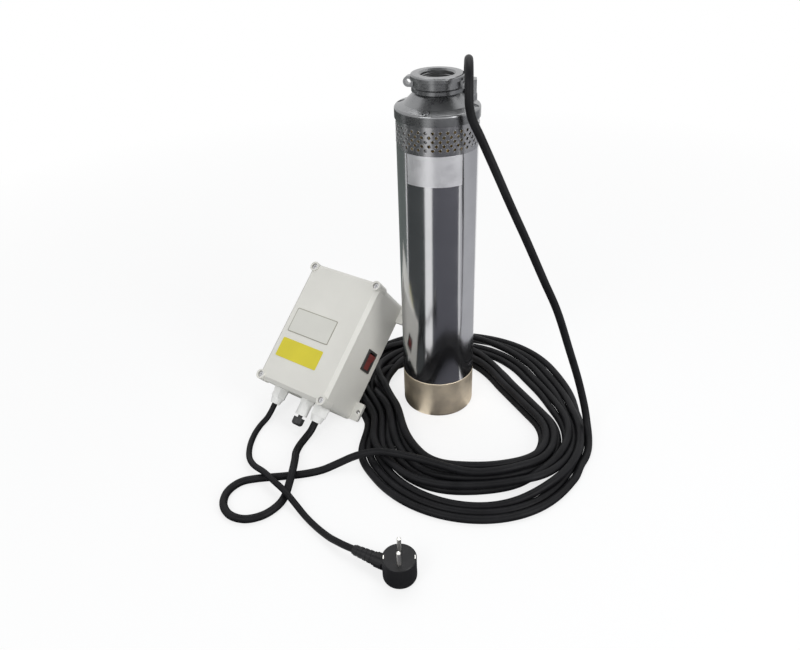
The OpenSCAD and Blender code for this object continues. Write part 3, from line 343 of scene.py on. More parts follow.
def tones(tree, factor, dark, light, low=0.3, high=0.7):
    ramp = tree.nodes.new("ShaderNodeValToRGB")
    ramp.color_ramp.elements[0].position = low
    ramp.color_ramp.elements[0].color = (*dark, 1)
    ramp.color_ramp.elements[1].position = high
    ramp.color_ramp.elements[1].color = (*light, 1)
    tree.links.new(factor, ramp.inputs["Fac"])
    return ramp.outputs["Color"]


def spread(tree, factor, low, high):
    ranged = tree.nodes.new("ShaderNodeMapRange")
    ranged.inputs["To Min"].default_value = low
    ranged.inputs["To Max"].default_value = high
    tree.links.new(factor, ranged.inputs["Value"])
    return ranged.outputs["Result"]


def bump(tree, height, strength, distance, shader):
    relief = tree.nodes.new("ShaderNodeBump")
    relief.inputs["Strength"].default_value = strength
    relief.inputs["Distance"].default_value = distance
    tree.links.new(height, relief.inputs["Height"])
    tree.links.new(relief.outputs["Normal"], shader.inputs["Normal"])


def combine(tree, operation, first, second):
    item = tree.nodes.new("ShaderNodeMath")
    item.operation = operation
    tree.links.new(first, item.inputs[0])
    tree.links.new(second, item.inputs[1])
    return item.outputs["Value"]


def shade(color, factor):
    return tuple(min(1.0, c * factor) for c in color)


def metal(name, color, roughness, grain=(60, 60, 60), grain_bump=0.05, mottle=0.12):
    """A metal with a directed grain, smudged patches of duller tone and a slight relief."""
    material, tree, shader = new_material(name)
    shader.inputs["Metallic"].default_value = 1.0
    grain_fac = noise(tree, place_coordinates(tree, grain), 1.0, 5.0)
    patch_fac = noise(tree, place_coordinates(tree, (30, 30, 30)), 1.0, 3.0)
    tree.links.new(tones(tree, patch_fac, shade(color, 1 - mottle), shade(color, 1 + mottle / 3)),
                   shader.inputs["Base Color"])
    smudge = combine(tree, "MULTIPLY", spread(tree, grain_fac, roughness * 0.7, roughness * 1.3),
                     spread(tree, patch_fac, 0.7, 1.3))
    tree.links.new(smudge, shader.inputs["Roughness"])
    bump(tree, grain_fac, grain_bump, SKIN_DEPTH, shader)
    return material


def moulded(name, color, roughness, texture_scale=900, texture_bump=0.12, mottle=0.05, gloss=0.5):
    """A moulded plastic or rubber with a fine skin and slight changes of tone."""
    material, tree, shader = new_material(name)
    skin = noise(tree, place_coordinates(tree, (1, 1, 1)), texture_scale, 2.0)
    patch = noise(tree, place_coordinates(tree, (1, 1, 1)), 22, 4.0)
    tree.links.new(tones(tree, patch, shade(color, 1 - mottle), shade(color, 1 + mottle)),
                   shader.inputs["Base Color"])
    tree.links.new(spread(tree, patch, roughness * 0.85, roughness * 1.15), shader.inputs["Roughness"])
    shader.inputs["Specular IOR Level"].default_value = gloss
    bump(tree, skin, texture_bump, SKIN_DEPTH, shader)
    return material


def sheath(name, color, roughness):
    """A cable sheath: drawn lines along its length and a dusty bloom, from the cable's own UV map."""
    material, tree, shader = new_material(name)
    lines = noise(tree, place_coordinates(tree, (14, 60, 1), "UV"), 1.0, 3.0)
    bloom = noise(tree, place_coordinates(tree, (35, 35, 35)), 1.0, 4.0)
    tree.links.new(tones(tree, bloom, shade(color, 0.75), shade(color, 1.5)), shader.inputs["Base Color"])
    tree.links.new(spread(tree, lines, roughness * 0.8, roughness * 1.25), shader.inputs["Roughness"])
    shader.inputs["Specular IOR Level"].default_value = 0.12
    bump(tree, lines, 0.08, LINE_DEPTH, shader)
    return material


def coil_wire(name, color):
    """Varnished copper wire, laid in fine rows, with painted shade in the grooves between the rows."""
    material, tree, shader = new_material(name)
    rows = tree.nodes.new("ShaderNodeTexWave")
    rows.inputs["Scale"].default_value = 240
    rows.inputs["Distortion"].default_value = 1.5
    tree.links.new(place_coordinates(tree, (1, 1, 1)), rows.inputs["Vector"])
    # Painted shade: the copper turns darker in the grooves between the rows, where the bump is low.
    tree.links.new(tones(tree, rows.outputs["Fac"], shade(color, 0.5), color, 0.1, 0.8),
                   shader.inputs["Base Color"])
    shader.inputs["Roughness"].default_value = 0.35
    shader.inputs["Metallic"].default_value = 0.6
    bump(tree, rows.outputs["Fac"], 0.4, LINE_DEPTH, shader)
    return material


steel_tube = metal("polished_steel", (0.66, 0.66, 0.67), 0.14, grain=(500, 500, 14), grain_bump=0.02,
                   mottle=0.06)
strainer_steel = metal("strainer_steel", (0.46, 0.46, 0.47), 0.26, grain=(400, 400, 40), grain_bump=0.05)
brass_cap = metal("warm_brass", (0.88, 0.77, 0.60), 0.52, grain=(90, 90, 700), grain_bump=0.06, mottle=0.2)
cast_head = metal("cast_head", (0.27, 0.274, 0.28), 0.3, grain=(420, 420, 420), grain_bump=0.25, mottle=0.2)
brass_wheel = metal("milled_brass", (0.72, 0.55, 0.27), 0.28, grain=(300, 300, 60), grain_bump=0.05)
bright_steel = metal("turned_steel", (0.62, 0.62, 0.63), 0.25, grain=(80, 80, 900), grain_bump=0.05)
core_steel = metal("stacked_steel", (0.26, 0.27, 0.29), 0.45, grain=(20, 20, 1800), grain_bump=0.35)
cast_alloy = metal("cast_alloy", (0.66, 0.66, 0.67), 0.42, grain=(380, 380, 380), grain_bump=0.2)
plated_metal = metal("plated_metal", (0.86, 0.85, 0.81), 0.42, grain=(300, 300, 80), grain_bump=0.03)
copper_wire = coil_wire("copper_winding", (0.55, 0.26, 0.10))
black_rubber = moulded("black_rubber", (0.022, 0.022, 0.023), 0.55, 700, 0.15, 0.25)
white_ceramic = moulded("white_ceramic", (0.86, 0.85, 0.82), 0.2, 1200, 0.03)
grey_carbon = moulded("grey_carbon", (0.10, 0.10, 0.11), 0.4, 1500, 0.08)
box_plastic = moulded("box_plastic", (0.665, 0.655, 0.61), 0.42, 1400, 0.06, 0.03)
white_plastic = moulded("white_plastic", (0.86, 0.86, 0.84), 0.38, 1400, 0.06, 0.03)
dark_plastic = moulded("dark_plastic", (0.035, 0.034, 0.034), 0.38, 1200, 0.08, 0.15)
red_plastic = moulded("red_plastic", (0.16, 0.030, 0.028), 0.3, 1500, 0.04, 0.12)
plug_plastic = moulded("plug_plastic", (0.012, 0.012, 0.013), 0.42, 1100, 0.1, 0.2, gloss=0.22)
cable_sheath = sheath("cable_black", (0.008, 0.008, 0.009), 0.46)
plate_foil = metal("plate_foil", (0.88, 0.88, 0.90), 0.44, grain=(60, 60, 900), grain_bump=0.05,
                   mottle=0.05)
yellow_film = moulded("yellow_film", (0.61, 0.53, 0.03), 0.35, 900, 0.03, 0.05)
white_film = moulded("white_film", (0.60, 0.595, 0.55), 0.35, 900, 0.03, 0.03)
film_line = moulded("film_line", (0.30, 0.29, 0.24), 0.4, 900, 0.03, 0.05)

NODE_FINISHES = {
    steel_tube: "motor_shell oil_chamber motor_top_bracket",
    strainer_steel: "suction_strainer",
    brass_cap: "bottom_cap",
    cast_head: "discharge_head outlet_collar gland_nut",
    brass_wheel: "impeller chamber_body chamber_cover terminal_screws",
    bright_steel: "head_screws impeller_nut shaft upper_bearing_outer upper_bearing_inner lower_bearing_outer "
                  "lower_bearing_inner lid_screws capacitor_clamp",
    core_steel: "rotor_core stator_core",
    cast_alloy: "rotor_end_rings",
    copper_wire: "stator_windings",
    black_rubber: "gland_bush shell_seal_rings head_seal_ring seal_bellows reset_button lid_gasket",
    white_ceramic: "seal_seat",
    grey_carbon: "seal_ring",
    box_plastic: "box_base box_lid",
    white_plastic: "overload_nut power_gland_body power_gland_nut power_gland_locknut motor_gland_body "
                   "motor_gland_nut motor_gland_locknut capacitor terminal_block",
    dark_plastic: "overload_body switch_frame",
    red_plastic: "switch_rocker",
    cable_sheath: "motor_lead motor_cable_drop motor_cable_coil motor_cable_tail power_cord",
    plug_plastic: "plug_body plug_strain_relief",
    plated_metal: "plug_pins plug_earth_clips",
}
for finish, names in NODE_FINISHES.items():
    for name in names.split():
        nodes[name].data.materials.clear()
        nodes[name].data.materials.append(finish)


# Meshes
def piece(name, vertices, faces, material, smooth=True, uv=None):
    mesh = bpy.data.meshes.new(name)
    mesh.from_pydata(vertices, [], faces)
    mesh.materials.append(material)
    for polygon in mesh.polygons:
        polygon.use_smooth = smooth
    if uv:
        layer = mesh.uv_layers.new(name="UVMap")
        for polygon in mesh.polygons:
            for corner, loop in enumerate(polygon.loop_indices):
                layer.data[loop].uv = uv(polygon.index, corner)
    item = bpy.data.objects.new(name, mesh)
    bpy.context.scene.collection.objects.link(item)
    return item


def smooth_route(points, step):
    """Even steps along a smooth curve through the points."""
    points = [Vector(p) for p in points]
    dense = []
    for i in range(len(points) - 1):
        a, b = points[max(i - 1, 0)], points[i]
        c, d = points[i + 1], points[min(i + 2, len(points) - 1)]
        for k in range(CURVE_STEPS):
            t = k / CURVE_STEPS
            dense.append(b + t / 2 * (c - a + t * (2 * a - 5 * b + 4 * c - d + t * (3 * (b - c) + d - a))))
    dense.append(points[-1])
    total = sum((q - p).length for p, q in zip(dense, dense[1:]))
    count = max(2, round(total / step))
    route, walked, i = [dense[0]], 0.0, 0
    for k in range(1, count):
        target = total * k / count
        while walked + (dense[i + 1] - dense[i]).length < target:
            walked += (dense[i + 1] - dense[i]).length
            i += 1
        route.append(dense[i].lerp(dense[i + 1], (target - walked) / (dense[i + 1] - dense[i]).length))
    return route + [dense[-1]]


def cable(name, route, radius, material):
    """A round cable along a route, with its length and its girth as UV."""
    sides, across = CABLE_SIDES, Vector((0, 1, 0))
    vertices, lengths, along = [], [], 0.0
    for i, point in enumerate(route):
        heading = (route[min(i + 1, len(route) - 1)] - route[max(i - 1, 0)]).normalized()
        across = (across - heading * across.dot(heading)).normalized()
        other = heading.cross(across)
        if i:
            along += (point - route[i - 1]).length
        lengths.append(along)
        for k in range(sides):
            turn = 2 * math.pi * k / sides
            vertices.append(point + radius * (math.cos(turn) * across + math.sin(turn) * other))
    faces, corners = [], []
    for i in range(len(route) - 1):
        for k in range(sides):
            n = (k + 1) % sides
            faces.append((i * sides + k, i * sides + n, (i + 1) * sides + n, (i + 1) * sides + k))
            low, high = lengths[i], lengths[i + 1]
            girth, next_girth = k / sides, (k + 1) / sides
            corners.append([(low, girth), (low, next_girth), (high, next_girth), (high, girth)])
    faces.append(tuple(range(sides - 1, -1, -1)))
    faces.append(tuple((len(route) - 1) * sides + k for k in range(sides)))
    corners += [[(0, 0)] * sides] * 2
    return piece(name, vertices, faces, material, uv=lambda face, corner: corners[face][corner])


# Coil
def coil_edge():
    """The coil's inner edge, clockwise from its right side, as points and outward normals at even steps."""
    axis = COIL_FAR - COIL_NEAR
    lean = math.acos((COIL_NEAR_IN_R - COIL_FAR_IN_R) / axis.length)
    middle = math.atan2(axis.y, axis.x)
    left, right = middle + lean - 2 * math.pi, middle - lean - 2 * math.pi
    points, normals = [], []

    def arc(centre, radius, start, stop):
        count = max(2, round(radius * abs(stop - start) / COIL_STEP))
        for i in range(count):
            angle = start + (stop - start) * i / count
            normal = Vector((math.cos(angle), math.sin(angle)))
            points.append(centre + radius * normal)
            normals.append(normal)

    def straight(angle, start, stop):
        normal = Vector((math.cos(angle), math.sin(angle)))
        ends = {"near": COIL_NEAR + COIL_NEAR_IN_R * normal, "far": COIL_FAR + COIL_FAR_IN_R * normal}
        count = round((ends["far"] - ends["near"]).length / COIL_STEP)
        for i in range(count):
            points.append(ends[start].lerp(ends[stop], i / count))
            normals.append(normal)

    arc(COIL_NEAR, COIL_NEAR_IN_R, 0, left)
    straight(left, "near", "far")
    arc(COIL_FAR, COIL_FAR_IN_R, left, right)
    straight(right, "far", "near")
    arc(COIL_NEAR, COIL_NEAR_IN_R, right, -2 * math.pi)
    return np.array(points), np.array(normals)


def ease(low, high, value):
    t = min(1.0, max(0.0, (value - low) / (high - low)))
    return t * t * (3 - 2 * t)


def lane_places(count):
    """How far out and how high each turn lies at each step round the coil, in metres."""
    lays = np.zeros((len(LANE_CHANGE) + 1, count, 2))
    for step in range(count):
        along = COIL_STOPS[-1][0] * step / count
        k = max(i for i, stop in enumerate(COIL_STOPS[:-1]) if stop[0] <= along)
        (start, name), (stop, next_name) = COIL_STOPS[k], COIL_STOPS[k + 1]
        share = ease(start, stop, along)
        here, ahead = np.array(COIL_LAYS[name]), np.array(COIL_LAYS[next_name])
        lays[:-1, step] = (1 - share) * here + share * ahead
    lays[-1] = lays[-2]
    turns = np.zeros((len(LANE_CHANGE), count, 2))
    for turn, window in enumerate(LANE_CHANGE):
        for step in range(count):
            share = ease(*window, step / count)
            turns[turn, step] = (1 - share) * lays[turn, step] + share * lays[turn + 1, step]
    return turns / 1000


def settle(turns):
    """Turns that press into one another move apart, and bends along the cable ease out."""
    shape = turns.shape
    for _ in range(SETTLE_ROUNDS):
        apart = turns[:, None] - turns[None, :]
        distance = np.sqrt((apart ** 2).sum(-1)) + LEAST_DISTANCE
        press = np.clip(CABLE_PITCH - distance, 0, None)
        turns = turns + PRESS_SHARE * ((press / distance)[..., None] * apart).sum(1)
        turns[..., 1] = np.maximum(turns[..., 1], CABLE_R)
        line = turns.reshape(-1, 2)
        line[2:-2] = (NEIGHBOUR_SHARE * line[1:-3] + (1 - 2 * NEIGHBOUR_SHARE) * line[2:-2]
                      + NEIGHBOUR_SHARE * line[3:-1])
        turns = line.reshape(shape)
    return turns


def coil_route():
    """All the turns as one run of points, from where the drop meets them to where the tail leaves."""
    points, normals = coil_edge()
    turns = settle(lane_places(len(points)))
    route = []
    for lay in turns:
        for point, normal, (out, high) in zip(points, normals, lay):
            place = point + normal * out
            route.append((place[0], place[1], high))
    return route[JOIN_STEPS:len(route) - LEAVE_STEPS]


# Cables and cords
def box_route(gland, *heights):
    """Points on a gland's axis, at heights over the box's floor."""
    return [box_point(*gland, z) for z in heights]


motor_route = smooth_route(
    DROP_POINTS
    + coil_route()
    + TAIL_POINTS
    + box_route(MOTOR_GLAND, GLAND_END - MOTOR_LEAD_OUT, GLAND_END, GLAND_INSIDE), CABLE_STEP)
motor_cable = cable("motor_cable", motor_route, CABLE_R, cable_sheath)
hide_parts("motor_cable_drop", "motor_cable_coil", "motor_cable_tail")
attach(motor_cable, "pump")

cord_route = smooth_route(
    box_route(POWER_GLAND, GLAND_INSIDE, GLAND_END, GLAND_END - LEAD_OUT)
    + CORD_POINTS
    + [plug_point(-PLUG_NECK - RELIEF_L - LEAD_OUT), plug_point(-PLUG_NECK - RELIEF_L), plug_point(-PLUG_NECK)],
    CORD_STEP)
mains_cord = cable("mains_cord", cord_route, CORD_R, cable_sheath)
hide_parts("power_cord")
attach(mains_cord, "pump")


# Bare plates
def curved_plate(name, radius, low, high, start, stop, material):
    """A thin plate round the casing, between two heights and two bearings."""
    columns, rows = 48, 6
    vertices, faces = [], []
    for layer in (PLATE_LIFT, PLATE_T):
        for row in range(rows + 1):
            for column in range(columns + 1):
                angle = start + (stop - start) * column / columns
                reach = radius + layer
                z = low + (high - low) * row / rows
                vertices.append((reach * math.cos(angle), reach * math.sin(angle), z))
    layer_size = (rows + 1) * (columns + 1)
    for row in range(rows):
        for column in range(columns):
            a = row * (columns + 1) + column
            b = a + columns + 1
            faces.append((a, b, b + 1, a + 1))
            faces.append(tuple(layer_size + v for v in (a, a + 1, b + 1, b)))
    rim = list(range(columns + 1))
    rim += [r * (columns + 1) + columns for r in range(1, rows + 1)]
    rim += [rows * (columns + 1) + c for c in range(columns - 1, -1, -1)]
    rim += [r * (columns + 1) for r in range(rows - 1, 0, -1)]
    for i, a in enumerate(rim):
        b = rim[(i + 1) % len(rim)]
        faces.append((a, b, layer_size + b, layer_size + a))
    plate = piece(name, vertices, faces, material, smooth=False)
    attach(plate, "pump")


def flat_plate(name, place, lift, corner, material):
    """A thin plate with round corners on the lid's front, given by its left, right, low and high edges."""
    left, right, low, high = place
    front = -BOX_D - lift
    outline = []
    for x, z, start in ((right - corner, high - corner, 0), (left + corner, high - corner, 90),
                        (left + corner, low + corner, 180), (right - corner, low + corner, 270)):
        for i in range(CORNER_STEPS + 1):
            angle = math.radians(start + 90 * i / CORNER_STEPS)
            outline.append((x + corner * math.cos(angle), z + corner * math.sin(angle)))
    count = len(outline)
    vertices = [box_point(x, front, z) for x, z in outline]
    vertices += [box_point(x, front - LABEL_T, z) for x, z in outline]
    faces = [tuple(range(count))[::-1], tuple(range(count, 2 * count))]
    faces += [(i, (i + 1) % count, count + (i + 1) % count, count + i) for i in range(count)]
    plate = piece(name, vertices, faces, material, smooth=False)
    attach(plate, "pump")


curved_plate("pump_plate", CASING_R, PLATE_LOW_Z, PLATE_HIGH_Z, PLATE_FROM, PLATE_TO, plate_foil)
inner_label = [edge + inward * LABEL_BORDER for edge, inward in zip(WHITE_LABEL, (1, -1, 1, -1))]
flat_plate("white_label_edge", WHITE_LABEL, LABEL_LIFT, LABEL_CORNER, film_line)
flat_plate("white_label", inner_label, INNER_LABEL_LIFT, INNER_LABEL_CORNER, white_film)
flat_plate("yellow_label", YELLOW_LABEL, LABEL_LIFT, LABEL_CORNER, yellow_film)


# Pieces that repeat or follow a path
class Growth:
    """A Geometry Nodes tree with named sizes, which becomes a plain mesh."""

    def __init__(self, name, **sizes):
        self.name, self.sizes = name, sizes
        self.tree = bpy.data.node_groups.new(name, "GeometryNodeTree")
        for label, value in sizes.items():
            kind = "NodeSocketInt" if isinstance(value, int) else "NodeSocketFloat"
            self.tree.interface.new_socket(label, in_out="INPUT", socket_type=kind)
        self.tree.interface.new_socket("Geometry", in_out="OUTPUT", socket_type="NodeSocketGeometry")
        self.given = self.tree.nodes.new("NodeGroupInput").outputs

    def node(self, kind, options=None, **inputs):
        item = self.tree.nodes.new(kind)
        for option, value in (options or {}).items():
            setattr(item, option, value)
        for label, value in inputs.items():
            self.feed(item.inputs[label.replace("_", " ")], value)
        return item

    def feed(self, socket, value):
        if isinstance(value, bpy.types.NodeSocket):
            self.tree.links.new(value, socket)
        else:
            socket.default_value = value

    def math(self, operation, first, second=0.0):
        item = self.tree.nodes.new("ShaderNodeMath")
        item.operation = operation
        self.feed(item.inputs[0], first)
        self.feed(item.inputs[1], second)
        return item.outputs["Value"]

    def vector(self, x, y, z):
        return self.node("ShaderNodeCombineXYZ", X=x, Y=y, Z=z).outputs["Vector"]

    def join(self, *parts):
        item = self.tree.nodes.new("GeometryNodeJoinGeometry")
        for part in reversed(parts):
            self.tree.links.new(part, item.inputs["Geometry"])
        return item.outputs["Geometry"]

    def finish(self, geometry, material, smooth, body, slot):
        """Ends the tree, sets its sizes on a modifier and keeps the result as a plain mesh."""
        shaded = self.node("GeometryNodeSetShadeSmooth", Geometry=geometry, Shade_Smooth=smooth)
        real = self.node("GeometryNodeRealizeInstances", Geometry=shaded.outputs["Geometry"])
        painted = self.node("GeometryNodeSetMaterial", Geometry=real.outputs["Geometry"], Material=material)
        output = self.tree.nodes.new("NodeGroupOutput")
        self.tree.links.new(painted.outputs["Geometry"], output.inputs["Geometry"])
        seed = piece(self.name + "_seed", [], [], material)
        modifier = seed.modifiers.new("growth", "NODES")
        modifier.node_group = self.tree
        for socket in self.tree.interface.items_tree:
            if socket.in_out == "INPUT":
                modifier[socket.identifier] = self.sizes[socket.name]
        grown = bpy.data.meshes.new_from_object(seed.evaluated_get(bpy.context.evaluated_depsgraph_get()))
        bpy.data.objects.remove(seed)
        grown.name = self.name
        item = bpy.data.objects.new(self.name, grown)
        bpy.context.scene.collection.objects.link(item)
        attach(item, body)
        return item


def outlet_thread():
    """The pipe thread's crests, one ridge that winds down the bore of the outlet."""
    growth = Growth("outlet_thread", bore=PORT_R, ridge=THREAD_R, length=PORT_DEPTH - 2 * THREAD_END_GAP,
                    pitch=THREAD_PITCH)
    turns = growth.math("DIVIDE", growth.given["length"], growth.given["pitch"])
    path = growth.node("GeometryNodeCurveSpiral", Resolution=72, Rotations=turns,
                       Start_Radius=growth.given["bore"], End_Radius=growth.given["bore"],
                       Height=growth.given["length"])
    upright = growth.node("GeometryNodeSetCurveNormal", {"mode": "Z_UP"}, Curve=path.outputs["Curve"])
    ridge = growth.node("GeometryNodeCurvePrimitiveCircle", Resolution=4, Radius=growth.given["ridge"])
    solid = growth.node("GeometryNodeCurveToMesh", Curve=upright.outputs["Curve"],
                        Profile_Curve=ridge.outputs["Curve"], Fill_Caps=True)
    placed = growth.node("GeometryNodeTransform", Geometry=solid.outputs["Mesh"],
                         Translation=(0, 0, HEAD_TOP_Z - PORT_DEPTH + THREAD_END_GAP / 2))
    growth.finish(placed.outputs["Geometry"], cast_head, False, "pump", "cast_head")


def strainer_rims():
    """The pressed rim round each hole of the strainer, in staggered rows."""
    growth = Growth("strainer_rims", columns=STRAINER_COLUMNS, rows=STRAINER_ROWS, radius=CASING_R,
                    hole=STRAINER_HOLE_R, rim=RIM_R, low=STRAINER_Z + STRAINER_MARGIN,
                    rise=(STRAINER_H - 2 * STRAINER_MARGIN) / (STRAINER_ROWS - 1))
    given = growth.given
    points = growth.node("GeometryNodePoints", Count=growth.math("MULTIPLY", given["columns"], given["rows"]))
    index = growth.tree.nodes.new("GeometryNodeInputIndex").outputs["Index"]
    row = growth.math("FLOOR", growth.math("DIVIDE", index, given["columns"]))
    column = growth.math("ADD", growth.math("MODULO", index, given["columns"]),
                         growth.math("MULTIPLY", growth.math("MODULO", row, 2.0), 0.5))
    turn = growth.math("DIVIDE", growth.math("MULTIPLY", column, 2 * math.pi), given["columns"])
    cosine, sine = growth.math("COSINE", turn), growth.math("SINE", turn)
    outward = growth.vector(cosine, sine, 0.0)
    place = growth.vector(
        growth.math("MULTIPLY", cosine, given["radius"]), growth.math("MULTIPLY", sine, given["radius"]),
        growth.math("ADD", given["low"], growth.math("MULTIPLY", row, given["rise"])))
    spots = growth.node("GeometryNodeSetPosition", Geometry=points.outputs["Points"], Position=place)
    circle = growth.node("GeometryNodeCurvePrimitiveCircle", Resolution=16, Radius=given["hole"])
    bead = growth.node("GeometryNodeCurvePrimitiveCircle", Resolution=4, Radius=given["rim"])
    ring = growth.node("GeometryNodeCurveToMesh", Curve=circle.outputs["Curve"],
                       Profile_Curve=bead.outputs["Curve"])
    facing = growth.node("FunctionNodeAlignRotationToVector", {"axis": "Z"}, Vector=outward)
    rims = growth.node("GeometryNodeInstanceOnPoints", Points=spots.outputs["Geometry"],
                       Instance=ring.outputs["Mesh"], Rotation=facing.outputs["Rotation"])
    growth.finish(rims.outputs["Instances"], strainer_steel, True, "pump", "polished_steel")


def lid_screw_set():
    """The lid's four screws, each with a crossed slot in its head."""
    growth = Growth("lid_screw_set", spread_across=BOX_W - 2 * LID_SCREW_INSET,
                    spread_up=BOX_H - 2 * LID_SCREW_INSET, head_radius=LID_SCREW_HEAD_R,
                    head_height=LID_SCREW_HEAD_H, shank_radius=LID_SCREW_SHANK_R,
                    shank_length=LID_SCREW_SHANK_L)
    given = growth.given
    head = growth.node("GeometryNodeMeshCylinder", Vertices=32, Radius=given["head_radius"],
                       Depth=given["head_height"])
    low_head = growth.node("GeometryNodeTransform", Geometry=head.outputs["Mesh"], Translation=growth.vector(
        0.0, 0.0, growth.math("MULTIPLY", given["head_height"], -0.5)))
    slot = growth.node("GeometryNodeMeshCube", Size=LID_SCREW_SLOT)
    crossed = growth.node("GeometryNodeTransform", Geometry=slot.outputs["Mesh"], Rotation=(0, 0, math.pi / 2))
    cut = growth.node("GeometryNodeMeshBoolean", {"operation": "DIFFERENCE"},
                      Mesh_1=low_head.outputs["Geometry"])
    for tool in (slot.outputs["Mesh"], crossed.outputs["Geometry"]):
        growth.tree.links.new(tool, cut.inputs["Mesh 2"])
    shank = growth.node("GeometryNodeMeshCylinder", Vertices=20, Radius=given["shank_radius"],
                        Depth=given["shank_length"])
    low_shank = growth.node("GeometryNodeTransform", Geometry=shank.outputs["Mesh"], Translation=growth.vector(
        0.0, 0.0, growth.math("SUBTRACT", growth.math("MULTIPLY", given["shank_length"], -0.5),
                              given["head_height"])))
    screw = growth.join(cut.outputs["Mesh"], low_shank.outputs["Geometry"])
    corners = growth.node("GeometryNodeMeshGrid", Size_X=given["spread_across"], Size_Y=given["spread_up"],
                          Vertices_X=2, Vertices_Y=2)
    screws = growth.node("GeometryNodeInstanceOnPoints", Points=corners.outputs["Mesh"], Instance=screw)
    origin = Vector(box_point(0, 0, 0))
    across, up, out = (Vector(box_point(*way)) - origin for way in ((1, 0, 0), (0, 0, 1), (0, -1, 0)))
    placed = growth.node("GeometryNodeTransform", Geometry=screws.outputs["Instances"],
                         Translation=box_point(0, -LID_SCREW_FACE, BOX_H / 2),
                         Rotation=Matrix((across, up, out)).transposed().to_euler())
    item = growth.finish(placed.outputs["Geometry"], bright_steel, False, "pump", "steel_part")
    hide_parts("lid_screws")


outlet_thread()
strainer_rims()
lid_screw_set()


# Stage
def seen_rays(tree):
    """One for rays that show the background: to the camera, in a reflection or through glass."""
    path = tree.nodes.new("ShaderNodeLightPath").outputs
    direct = combine(tree, "MAXIMUM", path["Is Camera Ray"], path["Is Glossy Ray"])
    return combine(tree, "MAXIMUM", direct, path["Is Transmission Ray"])


def show_two(tree, output_kind, share, first, second):
    """Ends a tree with a mix of two shaders."""
    mix = tree.nodes.new("ShaderNodeMixShader")
    tree.links.new(share, mix.inputs["Fac"])
    tree.links.new(first, mix.inputs[1])
    tree.links.new(second, mix.inputs[2])
    output = tree.nodes.new(output_kind)
    tree.links.new(mix.outputs["Shader"], output.inputs["Surface"])


def studio():
    """A pale room that lights softly and looks white."""
    world = bpy.data.worlds.new("studio")
    bpy.context.scene.world = world
    world.use_nodes = True
    tree = world.node_tree
    tree.nodes.clear()
    shaders = []
    for color, strength in ((ROOM_TINT, ROOM_STRENGTH), ((1, 1, 1, 1), 1.0)):
        background = tree.nodes.new("ShaderNodeBackground")
        background.inputs["Color"].default_value = color
        background.inputs["Strength"].default_value = strength
        shaders.append(background.outputs["Background"])
    show_two(tree, "ShaderNodeOutputWorld", seen_rays(tree), *shaders)


def pale_floor():
    """A round white floor, which keeps the shadows near the object and fades into the background."""
    material = bpy.data.materials.new("pale_floor")
    material.use_nodes = True
    tree = material.node_tree
    tree.nodes.clear()
    matt = tree.nodes.new("ShaderNodeBsdfDiffuse")
    matt.inputs["Color"].default_value = (0.9, 0.9, 0.9, 1)
    glow = tree.nodes.new("ShaderNodeEmission")
    glow.inputs["Strength"].default_value = 1.0
    coordinates = tree.nodes.new("ShaderNodeTexCoord")
    reach = tree.nodes.new("ShaderNodeVectorMath")
    reach.operation = "LENGTH"
    tree.links.new(coordinates.outputs["Object"], reach.inputs[0])
    fade = tree.nodes.new("ShaderNodeMapRange")
    for label, value in FLOOR_FADE.items():
        fade.inputs[label].default_value = value
    tree.links.new(reach.outputs["Value"], fade.inputs["Value"])
    share = combine(tree, "MULTIPLY", seen_rays(tree), fade.outputs["Result"])
    show_two(tree, "ShaderNodeOutputMaterial", share, matt.outputs["BSDF"], glow.outputs["Emission"])
    bearings = [math.radians(degrees) for degrees in range(0, 360, 6)]
    rim = [(FLOOR_R * math.cos(angle), FLOOR_R * math.sin(angle), 0) for angle in bearings]
    floor = piece("floor", rim, [tuple(range(len(rim)))], material, smooth=False)


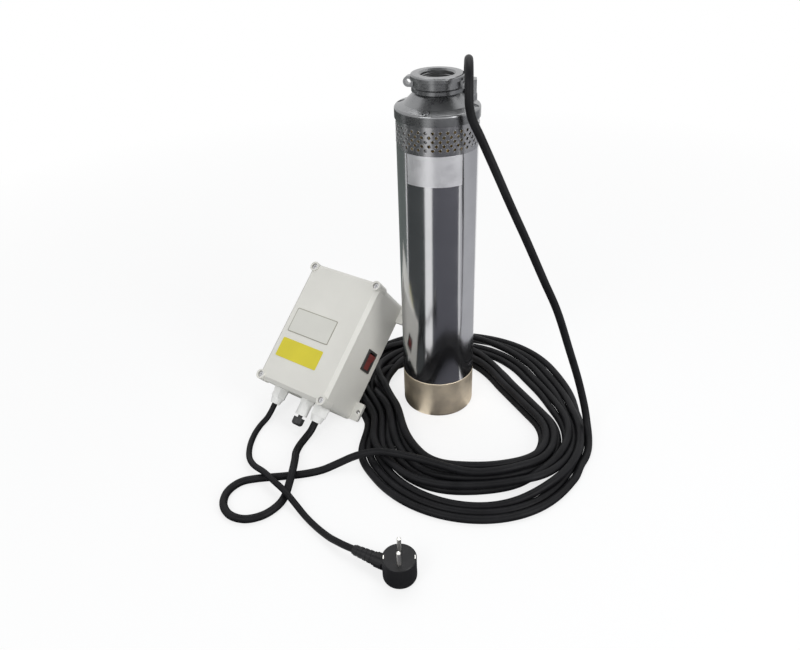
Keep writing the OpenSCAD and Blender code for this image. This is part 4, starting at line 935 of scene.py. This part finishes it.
def grey_card(name, corners, tone):
    """A card that only mirror-like surfaces see, for the dark bands of polished metal."""
    material, _, shader = new_material(name)
    shader.inputs["Base Color"].default_value = (*tone, 1)
    shader.inputs["Roughness"].default_value = 1.0
    shader.inputs["Specular IOR Level"].default_value = 0.0
    card = piece(name, corners, [tuple(range(len(corners)))], material, smooth=False)
    card.visible_camera = False
    card.visible_diffuse = False
    card.visible_shadow = False
    card.visible_transmission = False


def floor_sector(start, stop):
    """Corners of a card on the floor, between two bearings."""
    corners = []
    for radius, bearings in ((CARD_NEAR, (start, stop)), (CARD_FAR, (stop, (start + stop) / 2, start))):
        for bearing in bearings:
            angle = math.radians(bearing)
            corners.append((radius * math.sin(angle), -radius * math.cos(angle), CARD_Z))
    return corners


def softbox(name, place, target, width, height, power):
    lamp = bpy.data.lights.new(name, "AREA")
    lamp.shape = "RECTANGLE"
    lamp.size = width
    lamp.size_y = height
    lamp.energy = power
    item = bpy.data.objects.new(name, lamp)
    item.location = place
    item.rotation_euler = (Vector(target) - Vector(place)).to_track_quat("-Z", "Y").to_euler()
    bpy.context.scene.collection.objects.link(item)


def photo_camera():
    data = bpy.data.cameras.new("photo_camera")
    data.lens = LENS_MM
    data.sensor_width = SENSOR_MM
    data.sensor_fit = "HORIZONTAL"
    data.clip_start = 0.01
    forward = Vector((0, math.cos(CAMERA_PITCH), -math.sin(CAMERA_PITCH)))
    level = Vector((1, 0, 0))
    upright = Vector((0, math.sin(CAMERA_PITCH), math.cos(CAMERA_PITCH)))
    right = level * math.cos(CAMERA_ROLL) + upright * math.sin(CAMERA_ROLL)
    top = upright * math.cos(CAMERA_ROLL) - level * math.sin(CAMERA_ROLL)
    item = bpy.data.objects.new("photo_camera", data)
    item.matrix_world = Matrix.Translation(CAMERA_AT) @ Matrix((right, top, -forward)).transposed().to_4x4()
    bpy.context.scene.collection.objects.link(item)
    bpy.context.scene.camera = item


bpy.context.scene.view_settings.view_transform = "Standard"
photo_camera()
studio()
pale_floor()
for card_name, (card_start, card_stop, card_tone) in FLOOR_CARDS.items():
    grey_card(card_name, floor_sector(card_start, card_stop), card_tone)
grey_card("ceiling_flag", CEILING_CARD, CEILING_TONE)
for softbox_name, settings in SOFTBOXES.items():
    softbox(softbox_name, *settings)
